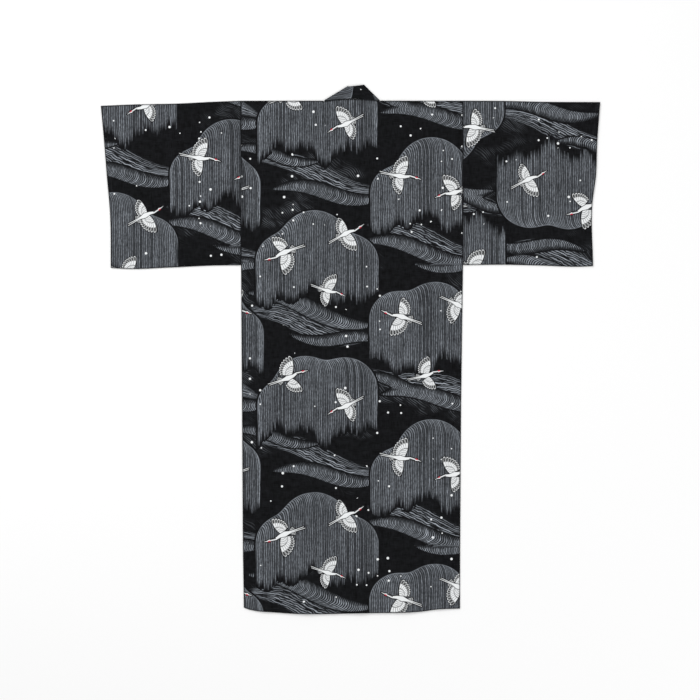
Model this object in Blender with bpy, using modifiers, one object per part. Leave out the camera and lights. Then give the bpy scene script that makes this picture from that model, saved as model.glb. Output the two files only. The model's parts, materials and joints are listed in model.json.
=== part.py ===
"""Cotton yukata robe laid flat with its back up, built from the pieces that are cut and sewn.

Metres. +Z is up, +Y runs from the hem to the collar, and +X is the wearer's right. The floor
is at Z = 0, and the middle of the garment's outline is at X = Y = 0.

Every piece is a sheet of cloth: a grid of points on the cloth's middle surface, one row for
each place down its length and one column for each place across it, thickened to a wall.
From the floor up lie the left front, the right front that crosses under it at the middle,
and the back. The cloth turns from front to back in a half circle at the shoulders.
"""
import math
from collections import namedtuple

import bpy
import numpy as np

# Cloth walls and the gap left at every seam
WALL = 0.0010
BAND_WALL = 0.0012
SEAM_GAP = 0.0003

# Heights of the undersides of the layers above the floor
RIGHT_LIFT = 0.0015
BACK_LIFT = 0.0036
SIDE_LIFT = 0.0019
SEWN_LIFT = WALL + SEAM_GAP

# Where the layers change height across the garment
RIGHT_RAMP = (0.120, 0.165)
BACK_RAMP = (0.135, 0.255)
SEWN_REACH = 0.022

# The body, in the named sizes of the cut
SHOULDER_Y = 0.6885
CENTRE_X = 0.0040
HALF_NECK = 0.0787
NECK_RISE = 0.0058
HALF_FRONT_GAP = 0.0690
POINT_Y = 0.455
POINT_WIDTH = 0.0022
OKUMI_REACH = 0.0810
BAND_END_Y = -0.100
BAND_WIDTH = 0.0550
BAND_TURN_ROOM = 0.0190
BAND_LEAN = 0.0120
SEAM_STEP = 0.0100
FRONT_HEM_RISE = 0.0025
ARMHOLE_Y = 0.2340

# Where the band turns from each front to the back: how far its seam lies inside the neck's
# corner, and where its free edge stands behind the neck
NeckFold = namedtuple("NeckFold", "side seam_inset edge_x edge_y")
NECK_FOLDS = [NeckFold(-1, 0.0030, -0.0100, 0.7290), NeckFold(1, 0.0027, 0.0390, 0.7321)]

# Side edges of the body, by distance below the shoulder line
Side = namedtuple("Side", "down left right")
SIDES = [
    Side(0.000, -0.3030, 0.3112),
    Side(0.455, -0.3030, 0.3112),
    Side(0.830, -0.3003, 0.3060),
    Side(1.245, -0.2976, 0.3032),
    Side(1.403, -0.2950, 0.3030),
]

# The hem's curve, from side to side
Hem = namedtuple("Hem", "across y")
HEM = [
    Hem(-0.2960, -0.7141),
    Hem(-0.2790, -0.7232),
    Hem(-0.2230, -0.7266),
    Hem(-0.1400, -0.7315),
    Hem(-0.0400, -0.7318),
    Hem(0.1370, -0.7288),
    Hem(0.2200, -0.7240),
    Hem(0.2800, -0.7172),
    Hem(0.3035, -0.7148),
]

# Soft creases left by folding, as ridges on the back: one end, the other end, half width, height.
# Each fades out over this share of its length at both ends.
CREASE_FADE = 0.25
Crease = namedtuple("Crease", "x0 y0 x1 y1 half_width height")
CREASES = [
    Crease(0.2130, -0.655, 0.2160, -0.215, 0.010, 0.0007),
    Crease(0.1300, -0.410, 0.2960, -0.412, 0.010, 0.0007),
    Crease(-0.1500, 0.120, -0.1480, 0.610, 0.014, 0.0006),
    Crease(-0.2850, -0.030, 0.2900, -0.026, 0.012, 0.0006),
]
# Gentle waves where the hem lifts from the layer below
Wave = namedtuple("Wave", "x half_width reach height")
HEM_WAVES = [
    Wave(-0.236, 0.034, 0.090, 0.0012),
    Wave(-0.118, 0.040, 0.140, 0.0009),
    Wave(0.026, 0.036, 0.110, 0.0013),
    Wave(0.148, 0.042, 0.130, 0.0010),
    Wave(0.252, 0.030, 0.080, 0.0012),
]

# Outline of a sleeve: its top and bottom edges from the body out, and its outer edge going down
Edge = namedtuple("Edge", "share y")
Outer = namedtuple("Outer", "share x")
Sleeve = namedtuple("Sleeve", "name side top bottom outer cuff_share")
SLEEVES = [
    Sleeve(
        "sleeve_left",
        -1,
        [Edge(0.0, 0.6885), Edge(0.2, 0.6856), Edge(0.45, 0.6808), Edge(0.75, 0.6785), Edge(1.0, 0.6745)],
        [Edge(0.0, 0.2340), Edge(0.2, 0.2338), Edge(0.55, 0.2285), Edge(0.9, 0.2240), Edge(1.0, 0.2262)],
        [
            Outer(0.0, -0.6907),
            Outer(0.20, -0.6825),
            Outer(0.45, -0.6735),
            Outer(0.66, -0.6655),
            Outer(1.0, -0.6632),
        ],
        0.60,
    ),
    Sleeve(
        "sleeve_right",
        1,
        [Edge(0.0, 0.6885), Edge(0.3, 0.6880), Edge(0.6, 0.6855), Edge(1.0, 0.6848)],
        [Edge(0.0, 0.2340), Edge(0.3, 0.2366), Edge(0.6, 0.2350), Edge(0.9, 0.2312), Edge(1.0, 0.2320)],
        [
            Outer(0.0, 0.6907),
            Outer(0.25, 0.6825),
            Outer(0.45, 0.6790),
            Outer(0.60, 0.6700),
            Outer(1.0, 0.6710),
        ],
        0.60,
    ),
]

# Grid lines, as shares of the way across or down, closer together where the cloth turns
LEFT_COLUMNS = [0, 0.02, 0.055, 0.10, 0.17, 0.24, 0.32, 0.40, 0.48, 0.56, 0.61, 0.67, 0.73, 0.80, 0.90, 1]
RIGHT_COLUMNS = [0, 0.02, 0.055, 0.10, 0.17, 0.24, 0.31, 0.36, 0.405, 0.45, 0.52, 0.60, 0.68, 0.76, 0.88, 1]
NECK_COLUMNS = [0, 0.12, 0.26, 0.38, 0.5, 0.62, 0.74, 0.88, 1]
BACK_ROWS = [0, 0.02, 0.06, 0.11, 0.17, 0.23, 0.28, 0.318, 0.335, 0.36, 0.40, 0.45, 0.495, 0.5035, 0.512,
             0.53, 0.58, 0.63, 0.68, 0.73, 0.765, 0.7735, 0.782, 0.80, 0.84, 0.88, 0.915, 0.945, 0.97,
             0.988, 1]
FRONT_ROWS = 18
TURN_STEPS = 6
SLEEVE_COLUMNS = [0.0, 0.04, 0.12, 0.25, 0.4, 0.55, 0.7, 0.83, 0.93, 0.98, 1.0]
SLEEVE_ROWS = [0.0, 0.10, 0.22, 0.35, 0.48, 0.60, 0.66, 0.78, 0.90, 0.965, 1.0]
OKUMI_UPPER_ROWS = 8
OKUMI_LOWER_ROWS = 8
OKUMI_COLUMNS = 3
BAND_COLUMNS = [0.0, 0.25, 0.5, 0.75, 1.0]
BAND_ROWS = 18
NECK_ROWS = 8

# Finish of the cloth
CLOTH_COLOUR = (0.030, 0.031, 0.036, 1.0)
CLOTH_ROUGHNESS = 0.88


def column(table, name):
    """One named column of a table as an array."""
    return np.array([getattr(row, name) for row in table])


def smooth(low, high, value):
    """0 below low, 1 above high, and an even S between them."""
    t = np.clip((np.asarray(value, float) - low) / (high - low), 0.0, 1.0)
    return t * t * (3.0 - 2.0 * t)


def curve(table, along, value, at):
    """A smooth curve through a table's points: a cubic between each two, with the mean slopes there."""
    places, values = column(table, along), column(table, value)
    slopes = np.gradient(values, places)
    at = np.clip(np.asarray(at, float), places[0], places[-1])
    i = np.clip(np.searchsorted(places, at) - 1, 0, len(places) - 2)
    step = places[i + 1] - places[i]
    t = (at - places[i]) / step
    from_first = (1 + 2 * t) * (1 - t) ** 2 * values[i] + t * (1 - t) ** 2 * step * slopes[i]
    from_second = t * t * (3 - 2 * t) * values[i + 1] - t * t * (1 - t) * step * slopes[i + 1]
    return from_first + from_second


def left_side(y):
    """X of the body's left edge at Y."""
    return np.interp(SHOULDER_Y - y, column(SIDES, "down"), column(SIDES, "left"))


def right_side(y):
    """X of the body's right edge at Y."""
    return np.interp(SHOULDER_Y - y, column(SIDES, "down"), column(SIDES, "right"))


def hem_y(x):
    """Y of the back's hem at X."""
    return curve(HEM, "across", "y", x)


def seam_line(side, y):
    """X of the seam of the band to a front, from the neck down to the band's end.

    Straight from the neck's corner to the point of the overlap panel, then straight to the
    place where the band ends on that panel. side is -1 for the left front and 1 for the right.
    """
    end = OKUMI_REACH - BAND_WIDTH
    in_left = np.interp(
        y,
        [BAND_END_Y, POINT_Y, SHOULDER_Y],
        [end, -HALF_FRONT_GAP + POINT_WIDTH, -HALF_NECK],
    )
    return CENTRE_X - side * in_left


def front_edge(side, y):
    """X of the inner edge of a front: down from the neck's corner, and straight below the point."""
    in_left = np.interp(y, [POINT_Y, SHOULDER_Y], [-HALF_FRONT_GAP, -HALF_NECK])
    return CENTRE_X - side * in_left


def crease_height(x, y):
    """Height of the soft creases and hem waves at a point of the back.

    A crease is a ridge along a line: a rounded hump across it that fades towards both ends. A
    wave is a hump across the hem that fades up the back.
    """
    total = np.zeros(np.broadcast(x, y).shape)
    for c in CREASES:
        along_x, along_y = c.x1 - c.x0, c.y1 - c.y0
        length = math.hypot(along_x, along_y)
        along = ((x - c.x0) * along_x + (y - c.y0) * along_y) / length
        across = np.abs((x - c.x0) * along_y - (y - c.y0) * along_x) / length
        hump = 1.0 - smooth(0.0, c.half_width, across)
        end = CREASE_FADE * length
        fade = smooth(0.0, end, along) * smooth(0.0, end, length - along)
        total = total + c.height * hump * fade
    for w in HEM_WAVES:
        hump = 1.0 - smooth(0.0, w.half_width, np.abs(x - w.x))
        total = total + w.height * hump * (1.0 - smooth(0.0, w.reach, y - hem_y(x)))
    return total


def sewn_share(distance):
    """0 on a sewn edge, where back and front meet, and 1 past its reach."""
    return smooth(0.0, SEWN_REACH, distance)


def back_height(x, y):
    """Height of the back's middle surface.

    High over the crossed fronts, lower at the sides, down onto the front along the sewn side
    seams below the armholes, and up again on the creases.
    """
    across = np.abs(x - CENTRE_X)
    lift = BACK_LIFT + (SIDE_LIFT - BACK_LIFT) * smooth(*BACK_RAMP, across)
    to_side = np.minimum(x - left_side(y), right_side(y) - x)
    to_seam = np.hypot(np.maximum(to_side, 0.0), np.maximum(y - ARMHOLE_Y, 0.0))
    lift = SEWN_LIFT + (lift - SEWN_LIFT) * sewn_share(to_seam)
    return lift + WALL / 2 + crease_height(x, y)


def front_height(side, x):
    """Height of a front's middle surface: on the floor, or lifted where it crosses the left one."""
    if side < 0:
        return np.full(np.shape(x), WALL / 2)
    return RIGHT_LIFT * (1.0 - smooth(*RIGHT_RAMP, x)) + WALL / 2


def neck_corner_y(side):
    """Y of a neck corner: where the back turns down to that front, a turn's radius short of the fold."""
    below = front_height(side, CENTRE_X + side * HALF_NECK)
    radius = (BACK_LIFT + WALL / 2 - below) / 2
    return SHOULDER_Y - WALL / 2 - radius


def neck_y(x):
    """Y of the back's neck edge: straight between the two neck corners, arched in the middle."""
    corners = [CENTRE_X - HALF_NECK, CENTRE_X + HALF_NECK]
    straight = np.interp(x, corners, [float(neck_corner_y(-1)), float(neck_corner_y(1))])
    return straight + NECK_RISE * (1.0 - ((x - CENTRE_X) / HALF_NECK) ** 2)


def cloth_material():
    """Black printed cotton, as one plain finish."""
    material = bpy.data.materials.new("printed_cotton")
    material.use_nodes = True
    shader = material.node_tree.nodes["Principled BSDF"]
    shader.inputs["Base Color"].default_value = CLOTH_COLOUR
    shader.inputs["Roughness"].default_value = CLOTH_ROUGHNESS
    shader.inputs["Metallic"].default_value = 0.0
    return material


def make_sheet(name, points, keep, wall, collection):
    """Make one piece from a grid of points: faces only where keep is true, then a wall."""
    rows, columns = points.shape[:2]
    number = np.arange(rows * columns).reshape(rows, columns)
    corners = [number[:-1, :-1], number[:-1, 1:], number[1:, 1:], number[1:, :-1]]
    faces = np.stack(corners, axis=-1)[keep]
    used, faces = np.unique(faces, return_inverse=True)
    vertices = points.reshape(-1, 3)[used]
    mesh = bpy.data.meshes.new(name)
    mesh.from_pydata(vertices.tolist(), [], faces.reshape(-1, 4).tolist())
    mesh.materials.append(cloth_material())
    mesh.shade_smooth()
    piece = bpy.data.objects.new(name, mesh)
    collection.objects.link(piece)
    thickness = piece.modifiers.new("wall", "SOLIDIFY")
    thickness.thickness = wall
    thickness.offset = 0.0
    thickness.use_even_offset = True
    return piece


def folded_rows(top, above, below, back, front, turn_steps):
    """Rows of a cloth that lies over itself, from the back's end over the fold to the front's end.

    top is the outermost Y of the middle surface on each column, above and below its heights
    at the fold. back and front are the rows of the two layers, from the fold to the end. The
    turn is a half circle in the plane across the fold.
    """
    radius = (above - below) / 2
    middle_y = top - radius
    middle_z = (above + below) / 2
    turn = []
    for step in range(1, turn_steps):
        angle = math.pi / 2 - math.pi * step / turn_steps
        x = back[0][:, 0]
        y = middle_y + radius * math.cos(angle)
        z = middle_z + radius * math.sin(angle)
        turn.append(np.stack([x, y, z], axis=-1))
    return np.array(list(back[::-1]) + turn + list(front))


def make_body(collection):
    """The back and both fronts in one cloth, folded over the shoulders on each side of the neck."""
    corner_left, corner_right = CENTRE_X - HALF_NECK, CENTRE_X + HALF_NECK
    left_edge, right_edge = float(left_side(SHOULDER_Y)), float(right_side(SHOULDER_Y))
    left = left_edge + (corner_left - left_edge) * np.array(LEFT_COLUMNS)
    right = right_edge + (corner_right - right_edge) * np.array(RIGHT_COLUMNS)
    neck = corner_left + (corner_right - corner_left) * np.array(NECK_COLUMNS)
    across = np.concatenate([left, neck[1:-1], right[::-1]])
    last_left, first_right = len(left) - 1, len(left) + len(neck) - 2

    side = np.where(across < CENTRE_X, -1, 1)
    above = back_height(across, np.full(across.shape, SHOULDER_Y))
    below = np.where(side < 0, front_height(-1, across), front_height(1, across))
    radius = (above - below) / 2
    start_y = SHOULDER_Y - WALL / 2 - radius
    inside = slice(last_left + 1, first_right)
    start_y[inside] = neck_y(across[inside])

    back = []
    for down in BACK_ROWS:
        y = start_y + (hem_y(across) - start_y) * down
        taper = np.where(across < 0, left_side(y) / left_edge, right_side(y) / right_edge)
        x = across * taper
        y = start_y + (hem_y(x) - start_y) * down
        back.append(np.stack([x, y, back_height(x, y)], axis=-1))
    back[0][:, 2] = above

    front = []
    for down in np.linspace(0.0, 1.0, FRONT_ROWS + 1):
        y = start_y + (hem_y(across) + FRONT_HEM_RISE - start_y) * down
        outer = np.where(side < 0, left_side(y), right_side(y))
        inner = np.where(side < 0, front_edge(-1, y), front_edge(1, y))
        edge = np.where(side < 0, left_edge, right_edge)
        corner = np.where(side < 0, corner_left, corner_right)
        x = outer + (inner - outer) * (across - edge) / (corner - edge)
        z = np.where(side < 0, front_height(-1, x), front_height(1, x))
        front.append(np.stack([x, y, z], axis=-1))
    front[0][:, 2] = below

    points = folded_rows(start_y + radius, above, below, back, front, TURN_STEPS)
    keep = np.ones((len(points) - 1, len(across) - 1), bool)
    keep[len(BACK_ROWS) - 1 :, last_left:first_right] = False
    return make_sheet("body", points, keep, WALL, collection)


def make_sleeve(sleeve, collection):
    """One sleeve: a cloth folded along its top, sewn below and up its outer edge to the cuff."""
    shares = np.array(SLEEVE_COLUMNS)
    if sleeve.side < 0:
        inner_edge = left_side(SHOULDER_Y) - SEAM_GAP
    else:
        inner_edge = right_side(SHOULDER_Y) + SEAM_GAP
    top = curve(sleeve.top, "share", "y", shares)
    bottom = curve(sleeve.bottom, "share", "y", shares)
    below = np.full(shares.shape, WALL / 2)
    above = np.full(shares.shape, SIDE_LIFT + WALL / 2)
    radius = (above - below) / 2
    start_y = top - WALL / 2 - radius

    back, front = [], []
    for down in SLEEVE_ROWS:
        outer_edge = curve(sleeve.outer, "share", "x", down)
        x = inner_edge + (outer_edge - inner_edge) * shares
        y = start_y + (bottom - start_y) * down
        above_cuff = max(sleeve.cuff_share - down, 0.0) * (SHOULDER_Y - ARMHOLE_Y)
        to_seam = np.minimum(y - bottom, np.hypot(outer_edge - x, above_cuff))
        z = SEWN_LIFT + (SIDE_LIFT - SEWN_LIFT) * sewn_share(to_seam) + WALL / 2
        back.append(np.stack([x, y, z], axis=-1))
        front.append(np.stack([x, y, below], axis=-1))

    points = folded_rows(start_y + radius, above, below, back, front, TURN_STEPS)
    keep = np.ones((len(points) - 1, len(shares) - 1), bool)
    return make_sheet(sleeve.name, points, keep, WALL, collection)


def make_okumi(name, side, collection):
    """One overlap panel: it widens from its point to the band's end, and is full width below it."""
    lift = 0.0 if side < 0 else RIGHT_LIFT
    front_edge_x = CENTRE_X - side * OKUMI_REACH
    rows = []
    for y in np.linspace(POINT_Y, BAND_END_Y, OKUMI_UPPER_ROWS + 1):
        rows.append(okumi_row(side, y, y, front_edge_x))
    top = BAND_END_Y - SEAM_GAP - WALL
    for share in np.linspace(0.0, 1.0, OKUMI_LOWER_ROWS + 1):
        across = np.linspace(CENTRE_X + side * HALF_FRONT_GAP, front_edge_x, 2 * OKUMI_COLUMNS + 1)
        y = top + (hem_y(across) + FRONT_HEM_RISE - top) * share
        rows.append(okumi_row(side, y, BAND_END_Y, front_edge_x))
    points = np.array(rows)
    points[..., 2] = lift + WALL / 2
    keep = np.ones((len(points) - 1, points.shape[1] - 1), bool)
    keep[: OKUMI_UPPER_ROWS + 1, OKUMI_COLUMNS:] = False
    return make_sheet(name, points, keep, WALL, collection)


def okumi_row(side, y, seam_y, front_edge_x):
    """One row of an overlap panel: from the front to the band's seam line, then to its own edge.

    y is the row's place down the panel, one number or one for each column. seam_y is the
    height at which the seam line is read.
    """
    y = np.broadcast_to(y, 2 * OKUMI_COLUMNS + 1)
    share = np.linspace(0.0, 1.0, OKUMI_COLUMNS + 1)
    start = front_edge(side, y[: OKUMI_COLUMNS + 1]) - side * SEAM_GAP
    seam = seam_line(side, seam_y)
    first = start + (seam - start) * share
    second = seam + (front_edge_x - seam) * share[1:]
    return np.stack([np.concatenate([first, second]), y, np.zeros(len(y))], axis=-1)


def make_collar(collection):
    """The band, as straight stations from its seam edge to its free edge, one after another.

    It runs flat up the left front, turns over the left neck fold, crosses the back of the
    neck, turns over the right neck fold and runs down the right front.
    """
    left = band_front(-1) + band_turn(NECK_FOLDS[0])
    right = band_front(1) + band_turn(NECK_FOLDS[1])
    back = band_back(left[-1], right[-1])
    stations = np.array(left + back + right[::-1])
    shares = np.array(BAND_COLUMNS)[None, :, None]
    points = stations[:, :1] + (stations[:, 1:] - stations[:, :1]) * shares
    keep = np.ones((len(points) - 1, points.shape[1] - 1), bool)
    return make_sheet("collar", points, keep, BAND_WALL, collection)


def band_low(side):
    """Height of the band's middle surface on one front."""
    return (0.0 if side < 0 else RIGHT_LIFT) + BAND_WALL / 2


def band_front(side):
    """Stations of the band on one front, square to its seam line, leaning up towards the neck."""
    low = band_low(side)
    top = SHOULDER_Y - BAND_TURN_ROOM
    stations = []
    for y in np.linspace(BAND_END_Y, top, BAND_ROWS):
        seam = np.array([seam_line(side, y) - side * SEAM_GAP, y])
        step = seam_line(side, y + SEAM_STEP) - seam_line(side, y - SEAM_STEP)
        along = np.array([step, 2 * SEAM_STEP]) / math.hypot(step, 2 * SEAM_STEP)
        across = np.array([-side * along[1], side * along[0]])
        lean = np.array([0.0, BAND_LEAN * smooth(POINT_Y, SHOULDER_Y, y)])
        edge = seam + across * BAND_WIDTH + lean
        stations.append([[*seam, low], [*edge, low]])
    return stations


def band_turn(fold):
    """Stations of the band over a neck fold: a half circle about the fold's slanting line."""
    low = band_low(fold.side)
    high = BACK_LIFT + BAND_WALL / 2
    radius = (high - low) / 2
    seam_x = CENTRE_X + fold.side * (HALF_NECK - fold.seam_inset)
    seam = np.array([seam_x, neck_y(seam_x) + SEAM_GAP + BAND_WALL / 2])
    edge = np.array([fold.edge_x, fold.edge_y])
    along = (edge - seam) / np.linalg.norm(edge - seam)
    out = np.array([fold.side * along[1], -fold.side * along[0]])
    edge = edge - out * (radius + BAND_WALL / 2)
    stations = []
    for step in range(TURN_STEPS + 1):
        angle = -math.pi / 2 + math.pi * step / TURN_STEPS
        shift = out * radius * math.cos(angle)
        z = (low + high) / 2 + radius * math.sin(angle)
        stations.append([[*(seam + shift), z], [*(edge + shift), z]])
    return stations


def band_back(left, right):
    """Stations of the band across the back of the neck, along the back's neck edge."""
    (seam_left, edge_left), (seam_right, edge_right) = np.array(left), np.array(right)
    stations = []
    for share in np.linspace(0.0, 1.0, NECK_ROWS + 1)[1:-1]:
        x = seam_left[0] + (seam_right[0] - seam_left[0]) * share
        seam = [x, neck_y(x) + SEAM_GAP + BAND_WALL / 2, seam_left[2]]
        stations.append([seam, list(edge_left + (edge_right - edge_left) * share)])
    return stations


def main():
    for old in list(bpy.data.objects):
        bpy.data.objects.remove(old, do_unlink=True)
    collection = bpy.data.collections.new("cotton yukata robe")
    bpy.context.scene.collection.children.link(collection)
    make_body(collection)
    for sleeve in SLEEVES:
        make_sleeve(sleeve, collection)
    make_okumi("okumi_left", -1, collection)
    make_okumi("okumi_right", 1, collection)
    make_collar(collection)


main()
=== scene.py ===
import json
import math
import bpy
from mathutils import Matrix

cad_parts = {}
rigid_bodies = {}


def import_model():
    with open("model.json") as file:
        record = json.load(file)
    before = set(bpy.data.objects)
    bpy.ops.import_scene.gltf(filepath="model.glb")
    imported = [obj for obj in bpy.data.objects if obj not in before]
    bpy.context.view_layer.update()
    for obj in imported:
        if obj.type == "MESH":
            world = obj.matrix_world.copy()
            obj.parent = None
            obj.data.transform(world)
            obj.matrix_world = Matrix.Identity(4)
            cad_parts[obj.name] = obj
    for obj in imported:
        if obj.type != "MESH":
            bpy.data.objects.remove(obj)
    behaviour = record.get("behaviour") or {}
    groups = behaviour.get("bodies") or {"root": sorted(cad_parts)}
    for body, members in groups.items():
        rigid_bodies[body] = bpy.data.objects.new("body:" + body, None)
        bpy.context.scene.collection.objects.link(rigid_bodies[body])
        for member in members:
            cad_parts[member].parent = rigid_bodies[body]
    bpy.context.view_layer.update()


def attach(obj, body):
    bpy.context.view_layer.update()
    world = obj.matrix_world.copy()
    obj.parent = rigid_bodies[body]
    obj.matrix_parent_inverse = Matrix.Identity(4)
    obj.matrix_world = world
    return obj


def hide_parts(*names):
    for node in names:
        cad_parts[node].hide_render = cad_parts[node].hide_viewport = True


bl_info = {
    "name": "Printed Cotton Yukata",
    "version": (1, 0, 0),
    "blender": (4, 5, 0),
    "location": "View3D > Sidebar > Yukata",
    "description": "Cloth, print, stitches and stage for a cotton yukata laid flat with its back up",
    "category": "Add Mesh",
}

from collections import namedtuple
from functools import reduce

import bpy
import numpy as np
from bpy.props import FloatProperty, FloatVectorProperty, IntProperty, PointerProperty
from bpy.types import Operator, Panel, PropertyGroup
from mathutils.bvhtree import BVHTree

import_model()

# The cut of the robe, in metres. +Y runs from the hem to the collar, and +X is the wearer's right.
SHOULDER_Y = 0.6885
CENTRE_X = 0.0040
HALF_NECK = 0.0787
NECK_RISE = 0.0058
HALF_FRONT_GAP = 0.0690
POINT_Y = 0.455
POINT_WIDTH = 0.0022
OKUMI_REACH = 0.0810
BAND_END_Y = -0.100
BAND_WIDTH = 0.0550
BAND_TURN_ROOM = 0.0190
BAND_LEAN = 0.0120
SEAM_STEP = 0.0100
FRONT_HEM_RISE = 0.0025
ARMHOLE_Y = 0.2340

# Walls that the layers were stacked with, and the undersides of the layers above the floor
FRAME_WALL = 0.0010
FRAME_BAND_WALL = 0.0012
SEAM_GAP = 0.0003
RIGHT_LIFT = 0.0015
BACK_LIFT = 0.0036
SIDE_LIFT = 0.0019
SEWN_LIFT = FRAME_WALL + SEAM_GAP
RIGHT_RAMP = (0.120, 0.165)
BACK_RAMP = (0.135, 0.255)
SEWN_REACH = 0.022

NeckFold = namedtuple("NeckFold", "side seam_inset edge_x edge_y")
NECK_FOLDS = [NeckFold(-1, 0.0030, -0.0068, 0.7294), NeckFold(1, 0.0027, 0.0368, 0.7332)]

Side = namedtuple("Side", "down left right")
SIDES = [
    Side(0.000, -0.3030, 0.3112),
    Side(0.455, -0.3030, 0.3112),
    Side(0.830, -0.3003, 0.3060),
    Side(1.245, -0.2976, 0.3032),
    Side(1.403, -0.2950, 0.3030),
]

Hem = namedtuple("Hem", "across y")
HEM = [
    Hem(-0.2960, -0.7141),
    Hem(-0.2790, -0.7200),
    Hem(-0.2500, -0.7248),
    Hem(-0.2230, -0.7266),
    Hem(-0.1400, -0.7318),
    Hem(-0.0800, -0.7322),
    Hem(-0.0200, -0.7308),
    Hem(0.0800, -0.7290),
    Hem(0.1370, -0.7284),
    Hem(0.1920, -0.7256),
    Hem(0.2480, -0.7186),
    Hem(0.2800, -0.7175),
    Hem(0.3035, -0.7170),
]

Edge = namedtuple("Edge", "share y")
Outer = namedtuple("Outer", "share x")
Sleeve = namedtuple("Sleeve", "name side top bottom outer cuff_share")
SLEEVES = [
    Sleeve(
        "sleeve_left",
        -1,
        [Edge(0.0, 0.6885), Edge(0.2, 0.6856), Edge(0.45, 0.6808), Edge(0.75, 0.6785), Edge(1.0, 0.6745)],
        [Edge(0.0, 0.2334), Edge(0.2, 0.2326), Edge(0.55, 0.2270), Edge(0.9, 0.2234), Edge(1.0, 0.2260)],
        [
            Outer(0.0, -0.6907),
            Outer(0.20, -0.6825),
            Outer(0.45, -0.6735),
            Outer(0.66, -0.6655),
            Outer(1.0, -0.6632),
        ],
        0.60,
    ),
    Sleeve(
        "sleeve_right",
        1,
        [Edge(0.0, 0.6885), Edge(0.3, 0.6880), Edge(0.6, 0.6855), Edge(1.0, 0.6848)],
        [Edge(0.0, 0.2336), Edge(0.3, 0.2348), Edge(0.6, 0.2324), Edge(0.9, 0.2292), Edge(1.0, 0.2306)],
        [
            Outer(0.0, 0.6907),
            Outer(0.25, 0.6825),
            Outer(0.45, 0.6790),
            Outer(0.60, 0.6700),
            Outer(1.0, 0.6710),
        ],
        0.60,
    ),
]

# A turned and pressed edge lies this much higher, and steps down between these distances from it
TURN_HEIGHT = 0.00028
TURN_STEP = (0.0130, 0.0150)

# Distances from an edge at which the cloth has a line of points of its own
NEAR_EDGE = (0.0008, 0.0022, 0.0048, 0.0090, *TURN_STEP)
NEAR_NECK = (0.0016, 0.0040)
FRONT_COARSER = 1.35
BAND_FINER = 0.8

# The cloth turns down into a seam by this much, over this distance
SEAM_DIP = 0.00050
SEAM_ROUNDING = 0.0042

# Machine stitching along the hems and cuffs: a stitch is a rounded bar, sunk into the cloth, and its
# turn and length vary. Its lines run short of each end, and it is laid on from above or below.
STITCH_INSET = 0.0110
STITCH_SUNK = 0.00008
STITCH_RINGS = (0.0, 0.16, 0.5, 0.84, 1.0)
STITCH_SIDES = 6
STITCH_TURN = 0.05
STITCH_LENGTHS = (0.92, 1.04)
PATH_POINTS = 120
PATH_STEP = 0.0002
PANEL_SHARE = 0.96
OVER_CLOTH = 0.1
PLY_PITCH = 0.0005
PLY_DEPTH = 0.00006

# Creases on the upper side: one end, the other end, half width, height (below 0 is a trough), bow
Crease = namedtuple("Crease", "x0 y0 x1 y1 half_width height bow")
CREASE_FADE = 0.25
CREASE_UNEVEN = 0.3
BODY_CREASES = [
    Crease(0.2130, -0.655, 0.2160, -0.215, 0.009, 0.0011, 0.0),
    Crease(0.1300, -0.396, 0.2960, -0.398, 0.009, 0.0011, 0.0),
    Crease(-0.1500, 0.120, -0.1480, 0.610, 0.011, 0.0009, 0.0),
    Crease(-0.2850, -0.030, 0.2900, -0.026, 0.011, 0.0009, 0.0),
    Crease(-0.296, 0.225, -0.180, 0.130, 0.013, 0.0018, 0.010),
    Crease(0.304, 0.230, 0.205, 0.120, 0.014, 0.0020, -0.012),
    Crease(-0.250, 0.640, -0.110, 0.560, 0.016, 0.0014, 0.012),
    Crease(0.120, 0.640, 0.290, 0.500, 0.018, -0.0006, 0.015),
    Crease(-0.040, 0.665, -0.020, 0.500, 0.013, 0.0013, -0.010),
    Crease(0.030, -0.560, 0.110, -0.180, 0.018, 0.0018, 0.020),
    Crease(-0.220, -0.620, -0.190, -0.280, 0.018, -0.0006, -0.012),
    Crease(-0.120, -0.250, 0.060, -0.330, 0.015, 0.0015, 0.014),
    Crease(-0.285, 0.150, -0.215, -0.020, 0.014, 0.0014, -0.012),
    Crease(0.290, 0.140, 0.235, -0.040, 0.013, 0.0013, 0.010),
    Crease(0.070, 0.420, 0.230, 0.330, 0.016, 0.0014, -0.014),
    Crease(-0.235, 0.420, -0.060, 0.470, 0.015, 0.0012, 0.012),
    Crease(-0.060, -0.640, -0.100, -0.430, 0.014, 0.0015, 0.010),
    Crease(0.180, -0.640, 0.240, -0.470, 0.013, 0.0012, -0.010),
]
SLEEVE_CREASES = [
    Crease(-0.640, 0.300, -0.560, 0.560, 0.016, 0.0015, 0.016),
    Crease(-0.480, 0.250, -0.400, 0.420, 0.014, 0.0016, -0.010),
    Crease(-0.420, 0.640, -0.330, 0.480, 0.016, 0.0013, 0.010),
    Crease(-0.560, 0.655, -0.520, 0.520, 0.014, -0.0004, -0.008),
    Crease(-0.600, 0.255, -0.500, 0.380, 0.013, 0.0011, 0.012),
    Crease(0.640, 0.620, 0.540, 0.420, 0.016, 0.0016, 0.014),
    Crease(0.440, 0.260, 0.400, 0.470, 0.014, 0.0015, -0.012),
    Crease(0.350, 0.640, 0.430, 0.520, 0.015, 0.0013, 0.010),
    Crease(0.560, 0.270, 0.600, 0.360, 0.014, -0.0004, -0.006),
    Crease(0.470, 0.600, 0.560, 0.640, 0.013, 0.0010, 0.008),
]

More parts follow.
